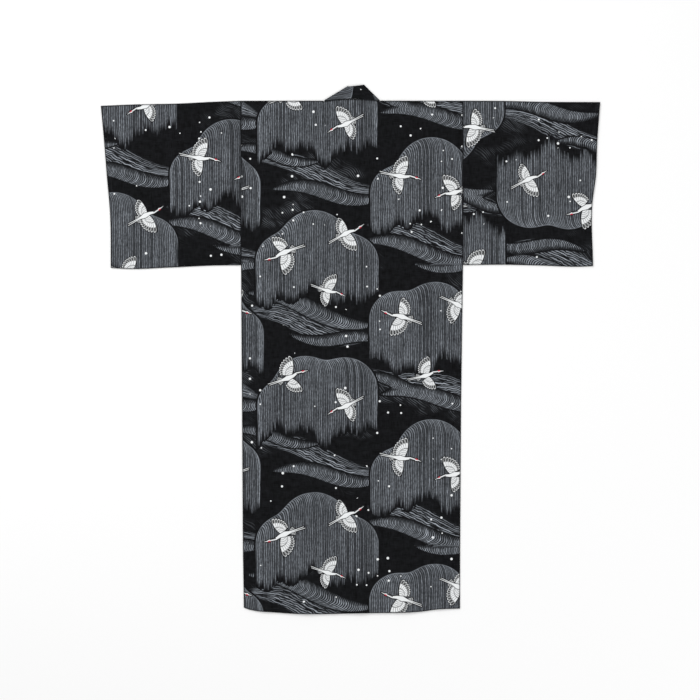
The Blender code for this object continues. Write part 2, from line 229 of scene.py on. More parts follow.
# Sharp lines that ironing left, on both sides of the robe. They fade over this length at each end.
PRESSED_FADE = 0.04
NO_LINE = 1.0
Pressed = namedtuple("Pressed", "x0 y0 x1 y1 strength")
PRESSED_LINES = [
    Pressed(0.1300, -0.3940, 0.3060, -0.3970, 0.6),
    Pressed(0.2130, -0.7000, 0.2160, -0.2150, 1.0),
    Pressed(-0.1500, 0.1200, -0.1480, 0.6500, 0.5),
    Pressed(-0.2950, -0.0300, 0.2900, -0.0260, 0.5),
    Pressed(-0.5000, 0.2300, -0.4960, 0.6800, 0.5),
    Pressed(0.4980, 0.2350, 0.5010, 0.6800, 0.5),
]

Wave = namedtuple("Wave", "x half_width reach height")
HEM_WAVES = [
    Wave(-0.236, 0.034, 0.090, 0.0020),
    Wave(-0.118, 0.040, 0.140, 0.0015),
    Wave(0.026, 0.036, 0.110, 0.0022),
    Wave(0.148, 0.042, 0.130, 0.0016),
    Wave(0.252, 0.030, 0.080, 0.0020),
]

# The print repeats over this width and length of the cloth
REPEAT_U = 0.620
REPEAT_V = 0.780

# Hills in mist: their layer, place in the repeat, fall to the foot, sway of the foot, and crest
Hill = namedtuple("Hill", "layer u v fall lobe seed rounds")
Round = namedtuple("Round", "across up radius")
HILLS = [
    Hill("hill_a", 0.150, 0.590, 0.148, 0.017, 1.0, [
        Round(-0.088, -0.040, 0.074), Round(0.000, 0.002, 0.098), Round(0.100, -0.045, 0.078),
    ]),
    Hill("hill_a", 0.160, 0.205, 0.142, 0.018, 2.0, [
        Round(-0.105, -0.052, 0.062), Round(-0.035, -0.004, 0.086), Round(0.075, -0.012, 0.090),
    ]),
    Hill("hill_b", 0.470, 0.400, 0.150, 0.018, 3.0, [
        Round(-0.090, -0.012, 0.078), Round(0.015, 0.000, 0.092), Round(0.098, -0.050, 0.062),
    ]),
    Hill("hill_b", 0.455, 0.010, 0.144, 0.017, 4.0, [
        Round(-0.080, -0.050, 0.070), Round(0.020, 0.004, 0.098), Round(0.100, -0.030, 0.066),
    ]),
]
CREST_BLEND = 0.012
Lobe = namedtuple("Lobe", "turns part")
LOBES = [Lobe(31.0, 1.0), Lobe(67.0, 0.75), Lobe(129.0, 0.22)]

# Streams between the hills: layer, start, length, rise over it, sway, half width
Stream = namedtuple("Stream", "layer u v length rise sway half_width")
STREAMS = [
    Stream("stream_a", -0.040, 0.462, 0.360, -0.090, 0.014, 0.024),
    Stream("stream_b", -0.060, 0.408, 0.370, -0.070, 0.018, 0.033),
    Stream("stream_a", 0.075, 0.350, 0.290, -0.030, -0.013, 0.017),
    Stream("stream_b", -0.010, 0.048, 0.350, -0.080, 0.016, 0.032),
    Stream("stream_a", 0.030, -0.032, 0.320, -0.020, 0.014, 0.021),
    Stream("stream_a", -0.090, 0.078, 0.260, -0.030, 0.012, 0.016),
    Stream("stream_b", 0.270, 0.256, 0.360, -0.090, -0.014, 0.033),
    Stream("stream_a", 0.330, 0.180, 0.340, -0.020, 0.015, 0.022),
    Stream("stream_a", 0.260, 0.230, 0.260, -0.050, 0.012, 0.016),
    Stream("stream_b", 0.290, 0.650, 0.350, -0.085, 0.016, 0.033),
    Stream("stream_a", 0.280, 0.604, 0.330, -0.050, 0.014, 0.022),
    Stream("stream_a", 0.420, 0.545, 0.260, -0.020, -0.010, 0.015),
]
STREAM_ARC = 0.017
STREAM_LINES = 5.5

# Flying cranes: place in the repeat, heading in degrees, half length, hand, and lift of the wings
Crane = namedtuple("Crane", "u v heading size hand pose")
CRANES = [
    Crane(0.070, 0.575, 200, 0.060, 1, -0.6),
    Crane(0.235, 0.625, 28, 0.055, -1, 0.3),
    Crane(0.185, 0.468, 342, 0.050, 1, 0.0),
    Crane(0.075, 0.225, 20, 0.058, 1, -1.0),
    Crane(0.240, 0.150, 206, 0.055, -1, 0.4),
    Crane(0.395, 0.395, 162, 0.059, 1, -0.3),
    Crane(0.545, 0.430, 334, 0.055, -1, 0.2),
    Crane(0.455, 0.232, 14, 0.051, 1, -0.8),
    Crane(0.385, 0.005, 350, 0.058, 1, 0.1),
    Crane(0.540, 0.740, 196, 0.055, -1, -0.5),
]
CRANE_REACH = 1.16
FAR_AWAY = 9.0

# The flat size of each cut piece, its area where that isn't their product, and how it is held
Cut = namedtuple("Cut", "width length area held")

# How each piece was laid on the cloth: its place in the repeat, and -1 where it was turned round
Laid = namedtuple("Laid", "u v way")
LAID = {
    "body": Laid(0.250, 0.305, 1),
    "sleeve_left": Laid(0.185, 0.255, 1),
    "sleeve_right": Laid(0.110, 0.620, -1),
    "okumi_left": Laid(0.110, 0.200, -1),
    "okumi_right": Laid(0.420, 0.560, -1),
    "collar": Laid(0.4825, 0.026, 1),
}


def metres(name, description, default, **more):
    """A property that holds a length, or a place."""
    kind = FloatVectorProperty if more else FloatProperty
    return kind(name=name, description=description, default=default, unit="LENGTH", **more)


def paint(name, description, default):
    """A property that holds a colour."""
    return FloatVectorProperty(name=name, description=description, default=default, subtype="COLOR")


class YukataCloth(PropertyGroup):
    wall: metres("Cloth thickness", "Wall of one layer of cotton", 0.0007)
    band_wall: metres("Band thickness", "Wall of the folded collar band", 0.0011)
    spacing: metres("Grid spacing", "Distance between the points of the cloth", 0.0062)
    turn_steps: IntProperty(
        name="Turn steps", description="Steps of the half circle at each fold", default=8, min=4
    )
    ground: paint("Ground", "Colour of the dyed cotton", (0.0050, 0.0053, 0.0062))
    ink: paint("White", "Colour of the white of the print", (0.82, 0.84, 0.85))
    line_ink: paint("Grey", "Colour of the lines of the print", (0.56, 0.61, 0.68))
    accent: paint("Red", "Colour of the cranes' crowns", (0.48, 0.012, 0.035))


class YukataStitches(PropertyGroup):
    pitch: metres("Stitch pitch", "Distance between two stitches", 0.0031)
    length: metres("Stitch length", "Length of a stitch that shows", 0.0024)
    thread: metres("Thread", "Thickness of the sewing thread", 0.00050)
    colour: paint("Thread colour", "Colour of the thread", (0.013, 0.013, 0.015))


class YukataPrint(PropertyGroup):
    rain_pitch: metres("Line pitch", "Distance between the upright lines", 0.0049)
    hook: metres("Hook", "How far the lines bend at a crest", 0.0145)
    hook_depth: metres("Hook depth", "How deep under a crest they bend", 0.0130)
    ragged: metres("Ragged foot", "How unevenly the lines end", 0.0240)
    stream_pitch: metres("Stream pitch", "Distance between the arcs of a stream", 0.0047)
    weave_pitch: metres("Weave pitch", "Distance between two threads", 0.00055)


class YukataStage(PropertyGroup):
    floor: paint("Floor", "Colour of the floor", (0.93, 0.93, 0.93))
    frame_width: metres("View width", "Width of the view at the floor", 1.9376)
    centre: metres("View centre", "Middle of the view", (-0.0014, -0.0014), size=2)
    camera_height: metres("Camera height", "Height of the camera over the floor", 7.0)


def column(table, name):
    """One named column of a table as an array."""
    return np.array([getattr(row, name) for row in table])


def smooth(low, high, value):
    """0 below low, 1 above high, and an even S between them."""
    t = np.clip((np.asarray(value, float) - low) / (high - low), 0.0, 1.0)
    return t * t * (3.0 - 2.0 * t)


def curve(table, along, value, at):
    """A smooth curve through a table's points: a cubic between each two, with the mean slopes there."""
    places, values = column(table, along), column(table, value)
    slopes = np.gradient(values, places)
    at = np.clip(np.asarray(at, float), places[0], places[-1])
    i = np.clip(np.searchsorted(places, at) - 1, 0, len(places) - 2)
    step = places[i + 1] - places[i]
    t = (at - places[i]) / step
    from_first = (1 + 2 * t) * (1 - t) ** 2 * values[i] + t * (1 - t) ** 2 * step * slopes[i]
    from_second = t * t * (3 - 2 * t) * values[i + 1] - t * t * (1 - t) * step * slopes[i + 1]
    return from_first + from_second


def left_side(y):
    """X of the body's left edge at Y."""
    return np.interp(SHOULDER_Y - y, column(SIDES, "down"), column(SIDES, "left"))


def right_side(y):
    """X of the body's right edge at Y."""
    return np.interp(SHOULDER_Y - y, column(SIDES, "down"), column(SIDES, "right"))


def hem_y(x):
    """Y of the back's hem at X."""
    return curve(HEM, "across", "y", x)


def seam_line(side, y):
    """X of the seam of the band to a front: straight to the overlap panel's point, then to its end."""
    end = OKUMI_REACH - BAND_WIDTH
    bends = [BAND_END_Y, POINT_Y, SHOULDER_Y]
    in_left = np.interp(y, bends, [end, -HALF_FRONT_GAP + POINT_WIDTH, -HALF_NECK])
    return CENTRE_X - side * in_left


def front_edge(side, y):
    """X of the inner edge of a front: down from the neck's corner, and straight below the point."""
    return CENTRE_X - side * np.interp(y, [POINT_Y, SHOULDER_Y], [-HALF_FRONT_GAP, -HALF_NECK])


def along_line(line, x, y):
    """A line's length, and each point's distances along it and square to it."""
    along_x, along_y = line.x1 - line.x0, line.y1 - line.y0
    length = math.hypot(along_x, along_y)
    along = ((x - line.x0) * along_x + (y - line.y0) * along_y) / length
    across = ((x - line.x0) * along_y - (y - line.y0) * along_x) / length
    return length, along, across


def faded_ends(reach, length, along):
    """1 along a line, falling to 0 over the same reach at both ends."""
    return smooth(0.0, reach, along) * smooth(0.0, reach, length - along)


def crease_height(creases, x, y):
    """Height of soft creases: a rounded hump across each bowed line, fading towards both ends."""
    total = np.zeros(np.broadcast(x, y).shape)
    for index, c in enumerate(creases):
        length, along, across = along_line(c, x, y)
        across = across - c.bow * np.sin(math.pi * np.clip(along / length, 0.0, 1.0))
        hump = 1.0 - smooth(0.0, c.half_width, np.abs(across))
        uneven = 1.0 + CREASE_UNEVEN * np.sin(6.0 * along / length + 2.0 * index)
        total = total + c.height * hump * uneven * faded_ends(CREASE_FADE * length, length, along)
    return total


def hem_wave_height(x, y):
    """Height of the hem's waves: humps across the hem that fade up the back."""
    total = np.zeros(np.broadcast(x, y).shape)
    for w in HEM_WAVES:
        hump = 1.0 - smooth(0.0, w.half_width, np.abs(x - w.x))
        total = total + w.height * hump * (1.0 - smooth(0.0, w.reach, y - hem_y(x)))
    return total


def sewn_share(distance):
    """0 on a sewn edge, where back and front meet, and 1 past its reach."""
    return smooth(0.0, SEWN_REACH, distance)


def back_height(x, y):
    """Height of the back's middle surface: over the crossed fronts, and down to the sewn sides."""
    across = np.abs(x - CENTRE_X)
    lift = BACK_LIFT + (SIDE_LIFT - BACK_LIFT) * smooth(*BACK_RAMP, across)
    to_side = np.minimum(x - left_side(y), right_side(y) - x)
    to_seam = np.hypot(np.maximum(to_side, 0.0), np.maximum(y - ARMHOLE_Y, 0.0))
    lift = SEWN_LIFT + (lift - SEWN_LIFT) * sewn_share(to_seam)
    return lift + FRAME_WALL / 2 + crease_height(BODY_CREASES, x, y) + hem_wave_height(x, y)


def front_height(side, x):
    """Height of a front's middle surface: on the floor, or lifted where it crosses the left one."""
    if side < 0:
        return np.full(np.shape(x), FRAME_WALL / 2)
    return RIGHT_LIFT * (1.0 - smooth(*RIGHT_RAMP, x)) + FRAME_WALL / 2


def neck_corner_y(side):
    """Y of a neck corner: where the back turns down to that front."""
    below = front_height(side, CENTRE_X + side * HALF_NECK)
    radius = (BACK_LIFT + FRAME_WALL / 2 - below) / 2
    return SHOULDER_Y - FRAME_WALL / 2 - radius


def neck_y(x):
    """Y of the back's neck edge: straight between the two neck corners, arched in the middle."""
    corners = [CENTRE_X - HALF_NECK, CENTRE_X + HALF_NECK]
    straight = np.interp(x, corners, [float(neck_corner_y(-1)), float(neck_corner_y(1))])
    return straight + NECK_RISE * (1.0 - ((x - CENTRE_X) / HALF_NECK) ** 2)


def shares(length, spacing, close=NEAR_EDGE):
    """Shares of a length, evenly spaced, and at set distances from both ends."""
    even = np.linspace(0.0, 1.0, max(2, round(length / spacing)) + 1)
    near = np.array([distance for distance in close if distance < 0.3 * length]) / length
    reach = near[-1] + 0.5 * spacing / length if len(near) else 0.0
    far_from_end = (even > reach) & (even < 1.0 - reach)
    return np.unique(np.concatenate([[0.0, 1.0], near, 1.0 - near, even[far_from_end]]))


def turned_edge(distance):
    """Extra height of a turned and pressed edge, by the distance from it."""
    return TURN_HEIGHT * (1.0 - smooth(*TURN_STEP, distance))


def seam_dip(distance):
    """Height of the cloth beside a seam, where it turns down into it, by the distance from it."""
    return -SEAM_DIP * (1.0 - smooth(0.0, SEAM_ROUNDING, distance))


def pressed_fields(x, y):
    """Signed distance to the nearest ironed line, and its strength there, fading at both ends."""
    nearest, strength = np.full(x.shape, NO_LINE), np.zeros(x.shape)
    for line in PRESSED_LINES:
        length, along, off = along_line(line, x, y)
        here = line.strength * faded_ends(PRESSED_FADE, length, along)
        nearer = (np.abs(off) < np.abs(nearest)) & (here > 0.0)
        nearest = np.where(nearer, off, nearest)
        strength = np.where(nearer, here, strength)
    return np.stack([nearest, strength], axis=-1)


def copies():
    """Shifts of the repeat that reach a place from its neighbours."""
    return [(across * REPEAT_U, up * REPEAT_V) for across in (-1, 0, 1, 2) for up in (-1, 0, 1, 2, 3)]


def hill_fields(layer, u, v):
    """Depth under the crest of the layer's nearest hill, height over its foot, and the lesser.

    A round of the crest is a disc drawn out downwards, so its depth is its radius less the
    distance to the upright ray below its middle, and the rounds blend by the logarithm of the
    sum of their exponentials. The foot is level but for three waves.
    """
    best = np.full(u.shape, -FAR_AWAY)
    depth, height = best.copy(), np.zeros(u.shape)
    for hill in [h for h in HILLS if h.layer == layer]:
        for shift_u, shift_v in copies():
            du, dv = u - hill.u - shift_u, v - hill.v - shift_v
            rays = [r.radius - np.hypot(du - r.across, np.maximum(dv - r.up, 0.0)) for r in hill.rounds]
            d = CREST_BLEND * np.log(np.sum([np.exp(ray / CREST_BLEND) for ray in rays], axis=0) + 1e-30)
            waves = sum(part * np.sin(du * turns + hill.seed * (1.0 + part)) for turns, part in LOBES)
            over = dv + hill.fall - hill.lobe * waves
            nearer = np.minimum(d, over) > best
            best = np.where(nearer, np.minimum(d, over), best)
            depth = np.where(nearer, d, depth)
            height = np.where(nearer, over, height)
    return np.stack([depth, height, best], axis=-1)


def stream_fields(layer, u, v):
    """Place along the layer's nearest stream, distance inside its edge, and share across it.

    A stream's middle rises evenly and sways once, its width swells and dies away, and its arcs
    are parabolas across it.
    """
    inside = np.full(u.shape, -FAR_AWAY)
    along, across = np.zeros(u.shape), np.zeros(u.shape)
    for s in [s for s in STREAMS if s.layer == layer]:
        for shift_u, shift_v in copies():
            t = (u - s.u - shift_u) / s.length
            middle = s.v + shift_v + s.rise * t + s.sway * np.sin(2 * math.pi * t)
            slope = (s.rise + 2 * math.pi * s.sway * np.cos(2 * math.pi * t)) / s.length
            lean = np.sqrt(1.0 + slope**2)
            off = (v - middle) / lean
            beyond = np.maximum(np.maximum(-t, t - 1.0), 0.0) * s.length
            half = s.half_width * np.sin(math.pi * np.clip(t, 0.0, 1.0)) ** 0.7
            d = half - np.hypot(off, 2.0 * beyond)
            nearer = d > inside
            inside = np.where(nearer, d, inside)
            phase = (t * s.length + off * slope / lean) * lean + off**2 / (2 * STREAM_ARC)
            along = np.where(nearer, phase, along)
            across = np.where(nearer, off / np.maximum(half, 0.004), across)
    return np.stack([along, inside, across], axis=-1)


def crane_of_faces(middle_u, middle_v, corner_u, corner_v):
    """Each face corner's place in its crane's own frame, or far away where no crane is near.

    The frame has its first axis along the flight and half a crane's length as its unit. The
    third number is the lift of the wings.
    """
    p = np.full(corner_u.shape, FAR_AWAY)
    q, pose = p.copy(), np.zeros(corner_u.shape)
    for crane in CRANES:
        angle = math.radians(crane.heading)
        c, s = math.cos(angle), math.sin(angle)
        for shift_u, shift_v in copies():
            u0, v0 = crane.u + shift_u, crane.v + shift_v
            near = np.hypot(middle_u - u0, middle_v - v0) < CRANE_REACH * crane.size
            du, dv = (corner_u[near] - u0) / crane.size, (corner_v[near] - v0) / crane.size
            p[near] = du * c + dv * s
            q[near] = crane.hand * (dv * c - du * s)
            pose[near] = crane.pose
    return np.stack([p, q, pose], axis=-1)


# A part of the bake map: the cells that it holds, its lower left corner, and its scale
Island = namedtuple("Island", "rows columns corner scale")
BAKE_MARGIN = 0.0009


def cloth_wall(name, middle, keep, wall, cloth, edges, islands, laid):
    """A closed cloth from a grid of points on its middle surface.

    Each point moves half the wall out and half in along the mean normal of its faces, and rims
    close the two grids wherever a kept face has no kept neighbour. cloth holds each point's
    place on the flat cloth, and edges its distances to a sewn edge and to any edge. islands are
    the parts of the bake map, each for a range of rows and columns: the upper side first, and
    then the inner side.
    """
    rows, columns = middle.shape[:2]
    number = np.arange(rows * columns).reshape(rows, columns)
    quads = np.stack([number[:-1, :-1], number[:-1, 1:], number[1:, 1:], number[1:, :-1]], axis=-1)
    row_of, column_of = np.nonzero(keep)
    faces = quads[keep]
    flat = middle.reshape(-1, 3)
    normals = np.zeros_like(flat)
    face_normal = np.cross(flat[faces[:, 2]] - flat[faces[:, 0]], flat[faces[:, 3]] - flat[faces[:, 1]])
    for corner in range(4):
        np.add.at(normals, faces[:, corner], face_normal)
    normals /= np.maximum(np.linalg.norm(normals, axis=1, keepdims=True), 1e-12)
    points = np.concatenate([flat + normals * wall / 2, flat - normals * wall / 2])
    inner = faces[:, ::-1] + rows * columns

    padded = np.pad(keep, 1)
    open_sides = [
        (~padded[:-2, 1:-1] & keep, (0, 0), (0, 1), (0.0, -1.0)),
        (~padded[2:, 1:-1] & keep, (1, 1), (1, 0), (0.0, 1.0)),
        (~padded[1:-1, :-2] & keep, (1, 0), (0, 0), (-1.0, 0.0)),
        (~padded[1:-1, 2:] & keep, (0, 1), (1, 1), (1.0, 0.0)),
    ]
    rims, rim_rows, rim_columns, rim_ways = [], [], [], []
    for is_open, first, second, way in open_sides:
        i, j = np.nonzero(is_open)
        a = number[i + first[0], j + first[1]]
        b = number[i + second[0], j + second[1]]
        rims.append(np.stack([b, a, a + rows * columns, b + rows * columns], axis=-1))
        rim_rows.append(i)
        rim_columns.append(j)
        rim_ways.append(np.repeat([way], len(i), axis=0))
    rims = np.concatenate(rims)
    all_faces = np.concatenate([faces, inner, rims])

    used, corners = np.unique(all_faces, return_inverse=True)
    corners = corners.reshape(-1, 4)
    mesh = bpy.data.meshes.new(name)
    mesh.from_pydata(points[used], [], corners)
    mesh.shade_smooth()

    place = np.concatenate([cloth.reshape(-1, 2)] * 2)
    u = laid.u + laid.way * place[:, 0]
    v = laid.v + laid.way * place[:, 1]
    write_map(mesh, "Cloth", np.stack([u, v], axis=-1)[all_faces.ravel()])
    for layer in ("hill_a", "hill_b"):
        write_points(mesh, layer, hill_fields(layer, u[used], v[used]))
    for layer in ("stream_a", "stream_b"):
        write_points(mesh, layer, stream_fields(layer, u[used], v[used]))
    write_points(mesh, "edges", np.concatenate([edges.reshape(-1, 3)] * 2)[used])
    write_points(mesh, "pressed", pressed_fields(points[used][:, 0], points[used][:, 1]))
    corner_u, corner_v = u[all_faces], v[all_faces]
    cranes = crane_of_faces(corner_u.mean(1), corner_v.mean(1), corner_u, corner_v)
    crane_layer = mesh.attributes.new("crane", "FLOAT_VECTOR", "CORNER")
    crane_layer.data.foreach_set("vector", cranes.astype(np.float32).ravel())

    rim_places = (np.concatenate(rim_rows), np.concatenate(rim_columns), np.concatenate(rim_ways))
    write_map(mesh, "OFBake", bake_places(place, all_faces, (row_of, column_of), rim_places, islands))
    piece = bpy.data.objects.new(name, mesh)
    bpy.context.scene.collection.objects.link(piece)
    return piece


def bake_places(place, faces, cells, rims, islands):
    """Where each face corner lies on the bake map.

    An island is a range of rows and columns of one side of the cloth, at its own scale. A rim
    lies just outside the edge that it closes.
    """
    count = len(cells[0])
    result = np.zeros((len(faces), 4, 2))
    corner_place = place[faces]
    for side, first in ((0, 0), (1, count)):
        for island in islands[side]:
            chosen = in_island(island, *cells)
            spot = corner_place[first : first + count][chosen]
            low = spot.reshape(-1, 2).min(axis=0)
            result[first : first + count][chosen] = np.array(island.corner) + (spot - low) * island.scale
            if side == 0:
                edge = in_island(island, rims[0], rims[1])
                spot = np.array(island.corner) + (corner_place[2 * count :][edge] - low) * island.scale
                spot[:, 2:] += rims[2][edge][:, None, :] * BAKE_MARGIN
                result[2 * count :][edge] = spot
    return result.reshape(-1, 2)


def in_island(island, rows, columns):
    """Which cells lie in an island's range of rows and columns."""
    in_rows = (rows >= island.rows[0]) & (rows < island.rows[1])
    return in_rows & (columns >= island.columns[0]) & (columns < island.columns[1])


def write_map(mesh, name, values):
    """Write one UV map."""
    layer = mesh.uv_layers.new(name=name, do_init=False)
    layer.uv.foreach_set("vector", values.astype(np.float32).ravel())


def write_points(mesh, name, values):
    """Write up to three numbers for each point of a mesh."""
    values = np.pad(values, ((0, 0), (0, 3 - values.shape[1])))
    layer = mesh.attributes.new(name, "FLOAT_VECTOR", "POINT")
    layer.data.foreach_set("vector", values.astype(np.float32).ravel())


def turn_rows(x, top, above, below, steps):
    """Rows of a half circle from the upper layer to the lower one, and the way round to each."""
    radius = (above - below) / 2
    rows, ways = [], []
    for step in range(1, steps):
        angle = math.pi * step / steps
        y = top - radius + radius * math.sin(angle)
        z = (above + below) / 2 + radius * math.cos(angle)
        rows.append(np.stack([x, y, z], axis=-1))
        ways.append(radius * angle)
    return rows, ways


def folded(back, front, top, above, below, steps):
    """A grid over a fold, and each point's place on the flat cloth.

    back and front are the rows of the two layers, from the fold to the end. On the flat cloth
    the back lies as it does here, and the front follows it past the fold.
    """
    turn, ways = turn_rows(back[0][:, 0], top, above, below, steps)
    start = back[0][:, 1]
    half_round = math.pi * (above - below) / 2
    flat_back = [row[:, :2] for row in back[::-1]]
    flat_turn = [np.stack([row[:, 0], start + way], axis=-1) for row, way in zip(turn, ways)]
    flat_front = [np.stack([row[:, 0], start + half_round + start - row[:, 1]], axis=-1) for row in front]
    return np.array(list(back[::-1]) + turn + list(front)), np.array(flat_back + flat_turn + flat_front)


def by_side(side, function, at):
    """A function of the front's side, worked out along a row that holds both fronts."""
    return np.where(side < 0, function(-1, at), function(1, at))


def body_edges(points, side, is_front, fold_y):
    """The body's distances to a sewn edge and to any edge, and a place along them.

    The sewn edges are the sides, the hem, the neck and each front's inner edge, and the
    shoulder folds at fold_y count as edges too.
    """
    x, y = points[..., 0], points[..., 1]
    to_seam = np.minimum(x - left_side(y), right_side(y) - x)
    to_neck = np.hypot(np.maximum(np.abs(x - CENTRE_X) - HALF_NECK, 0.0), neck_y(x) - y)
    inner = by_side(side, front_edge, y)
    to_seam = np.minimum(to_seam, np.where(is_front, np.abs(x - inner), to_neck))
    to_sewn = np.minimum(to_seam, y - hem_y(x) - np.where(is_front, FRONT_HEM_RISE, 0.0))
    to_fold = np.where(np.abs(x - CENTRE_X) < HALF_NECK, 1.0, fold_y - y)
    return np.stack([to_sewn, np.minimum(to_sewn, to_fold), x + y], axis=-1)


def make_body(cloth):
    """The back and both fronts in one cloth, folded over the shoulders on each side of the neck."""
    corner_left, corner_right = CENTRE_X - HALF_NECK, CENTRE_X + HALF_NECK
    left_edge, right_edge = float(left_side(SHOULDER_Y)), float(right_side(SHOULDER_Y))
    side_shares = shares(corner_left - left_edge, cloth.spacing)
    left = left_edge + (corner_left - left_edge) * side_shares
    right = right_edge + (corner_right - right_edge) * side_shares
    neck = corner_left + (corner_right - corner_left) * shares(2 * HALF_NECK, cloth.spacing)
    across = np.concatenate([left, neck[1:-1], right[::-1]])
    last_left, first_right = len(left) - 1, len(left) + len(neck) - 2

    side = np.where(across < CENTRE_X, -1, 1)
    above = back_height(across, np.full(across.shape, SHOULDER_Y))
    below = by_side(side, front_height, across)
    radius = (above - below) / 2
    start_y = SHOULDER_Y - FRAME_WALL / 2 - radius
    inside = slice(last_left + 1, first_right)
    start_y[inside] = neck_y(across[inside])

    length = SHOULDER_Y - float(hem_y(0.0))
    back = []
    for down in shares(length, cloth.spacing):
        y = start_y + (hem_y(across) - start_y) * down
        taper = np.where(across < 0, left_side(y) / left_edge, right_side(y) / right_edge)
        x = across * taper
        y = start_y + (hem_y(x) - start_y) * down
        to_side = np.minimum(x - left_side(y), right_side(y) - x)
        z = back_height(x, y) + turned_edge(y - hem_y(x)) + seam_dip(to_side)
        back.append(np.stack([x, y, z], axis=-1))
    back[0][:, 2] = above

    front = []
    for down in shares(length, cloth.spacing * FRONT_COARSER):
        y = start_y + (hem_y(across) + FRONT_HEM_RISE - start_y) * down
        outer = np.where(side < 0, left_side(y), right_side(y))
        inner = by_side(side, front_edge, y)
        edge = np.where(side < 0, left_edge, right_edge)
        corner = np.where(side < 0, corner_left, corner_right)
        x = outer + (inner - outer) * (across - edge) / (corner - edge)
        z = by_side(side, front_height, x)
        front.append(np.stack([x, y, z], axis=-1))
    front[0][:, 2] = below

    points, flat = folded(back, front, start_y + radius, above, below, cloth.turn_steps)
    keep = np.ones((len(points) - 1, len(across) - 1), bool)
    split = len(back) - 1
    keep[split:, last_left:first_right] = False
    total, wide = len(points) - 1, len(across) - 1
    fold = split + cloth.turn_steps

    edges = body_edges(points, side, np.arange(total + 1)[:, None] >= fold, start_y + radius)
    upper = [
        Island((0, fold), (0, wide), (0.004, 0.004), 0.683),
        Island((fold, total), (0, last_left), (0.436, 0.004), 0.683),
        Island((fold, total), (first_right, wide), (0.604, 0.004), 0.683),
    ]
    under = [
        Island((0, fold), (0, wide), (0.770, 0.004), 0.330),
        Island((fold, total), (0, last_left), (0.770, 0.500), 0.330),
        Island((fold, total), (first_right, wide), (0.870, 0.500), 0.330),
    ]
    return cloth_wall("body_cloth", points, keep, cloth.wall, flat, edges, (upper, under), LAID["body"])


def make_sleeve(sleeve, cloth):
    """One sleeve: a cloth folded along its top, sewn below and up its outer edge to the cuff."""
    edge_x = float(left_side(SHOULDER_Y) if sleeve.side < 0 else right_side(SHOULDER_Y))
    across = shares(abs(sleeve.outer[0].x - edge_x), cloth.spacing)
    if sleeve.side < 0:
        across = across[::-1]
    top = curve(sleeve.top, "share", "y", across)
    bottom = curve(sleeve.bottom, "share", "y", across)
    below = np.full(across.shape, FRAME_WALL / 2)
    above = np.full(across.shape, SIDE_LIFT + FRAME_WALL / 2)
    radius = (above - below) / 2
    start_y = top - FRAME_WALL / 2 - radius

    back, front, edge_rows = [], [], []
    for down in shares(SHOULDER_Y - ARMHOLE_Y, cloth.spacing):
        outer_edge = curve(sleeve.outer, "share", "x", down)
        x = edge_x + (outer_edge - edge_x) * across
        y = start_y + (bottom - start_y) * down
        above_cuff = max(sleeve.cuff_share - down, 0.0) * (SHOULDER_Y - ARMHOLE_Y)
        to_body, to_cuff, to_bottom = np.abs(x - edge_x), np.abs(outer_edge - x), y - bottom
        to_sewn = np.minimum(to_bottom, np.hypot(to_cuff, above_cuff))
        z = SEWN_LIFT + (SIDE_LIFT - SEWN_LIFT) * sewn_share(to_sewn) + FRAME_WALL / 2
        crease = crease_height(SLEEVE_CREASES, x, y) * smooth(0.0, SEWN_REACH, to_body)
        z = z + crease * sewn_share(to_bottom) + turned_edge(np.minimum(to_body, to_cuff))
        z = z + seam_dip(to_body) + turned_edge(to_bottom)
        back.append(np.stack([x, y, z], axis=-1))
        front.append(np.stack([x, y, below], axis=-1))
        to_sewn = np.minimum(np.minimum(to_body, to_bottom), to_cuff)
        to_edge = np.minimum(to_sewn, start_y + radius - y)
        edge_rows.append(np.stack([to_sewn, to_edge, x + y], axis=-1))
    back[0][:, 2] = above

    points, flat = folded(back, front, start_y + radius, above, below, cloth.turn_steps)
    turn_edges = [edge_rows[0]] * (cloth.turn_steps - 1)
    edges = np.array(edge_rows[::-1] + turn_edges + edge_rows)
    keep = np.ones((len(points) - 1, len(across) - 1), bool)
    total, wide = len(points) - 1, len(across) - 1
    fold = len(back) - 1 + cloth.turn_steps
    upper = [
        Island((0, fold), (0, wide), (0.004, 0.006), 1.28),
        Island((fold, total), (0, wide), (0.504, 0.006), 1.20),
    ]
    under = [
        Island((0, fold), (0, wide), (0.004, 0.610), 0.80),
        Island((fold, total), (0, wide), (0.504, 0.610), 0.80),
    ]
    piece = sleeve.name + "_cloth"
    return cloth_wall(piece, points, keep, cloth.wall, flat, edges, (upper, under), LAID[sleeve.name])


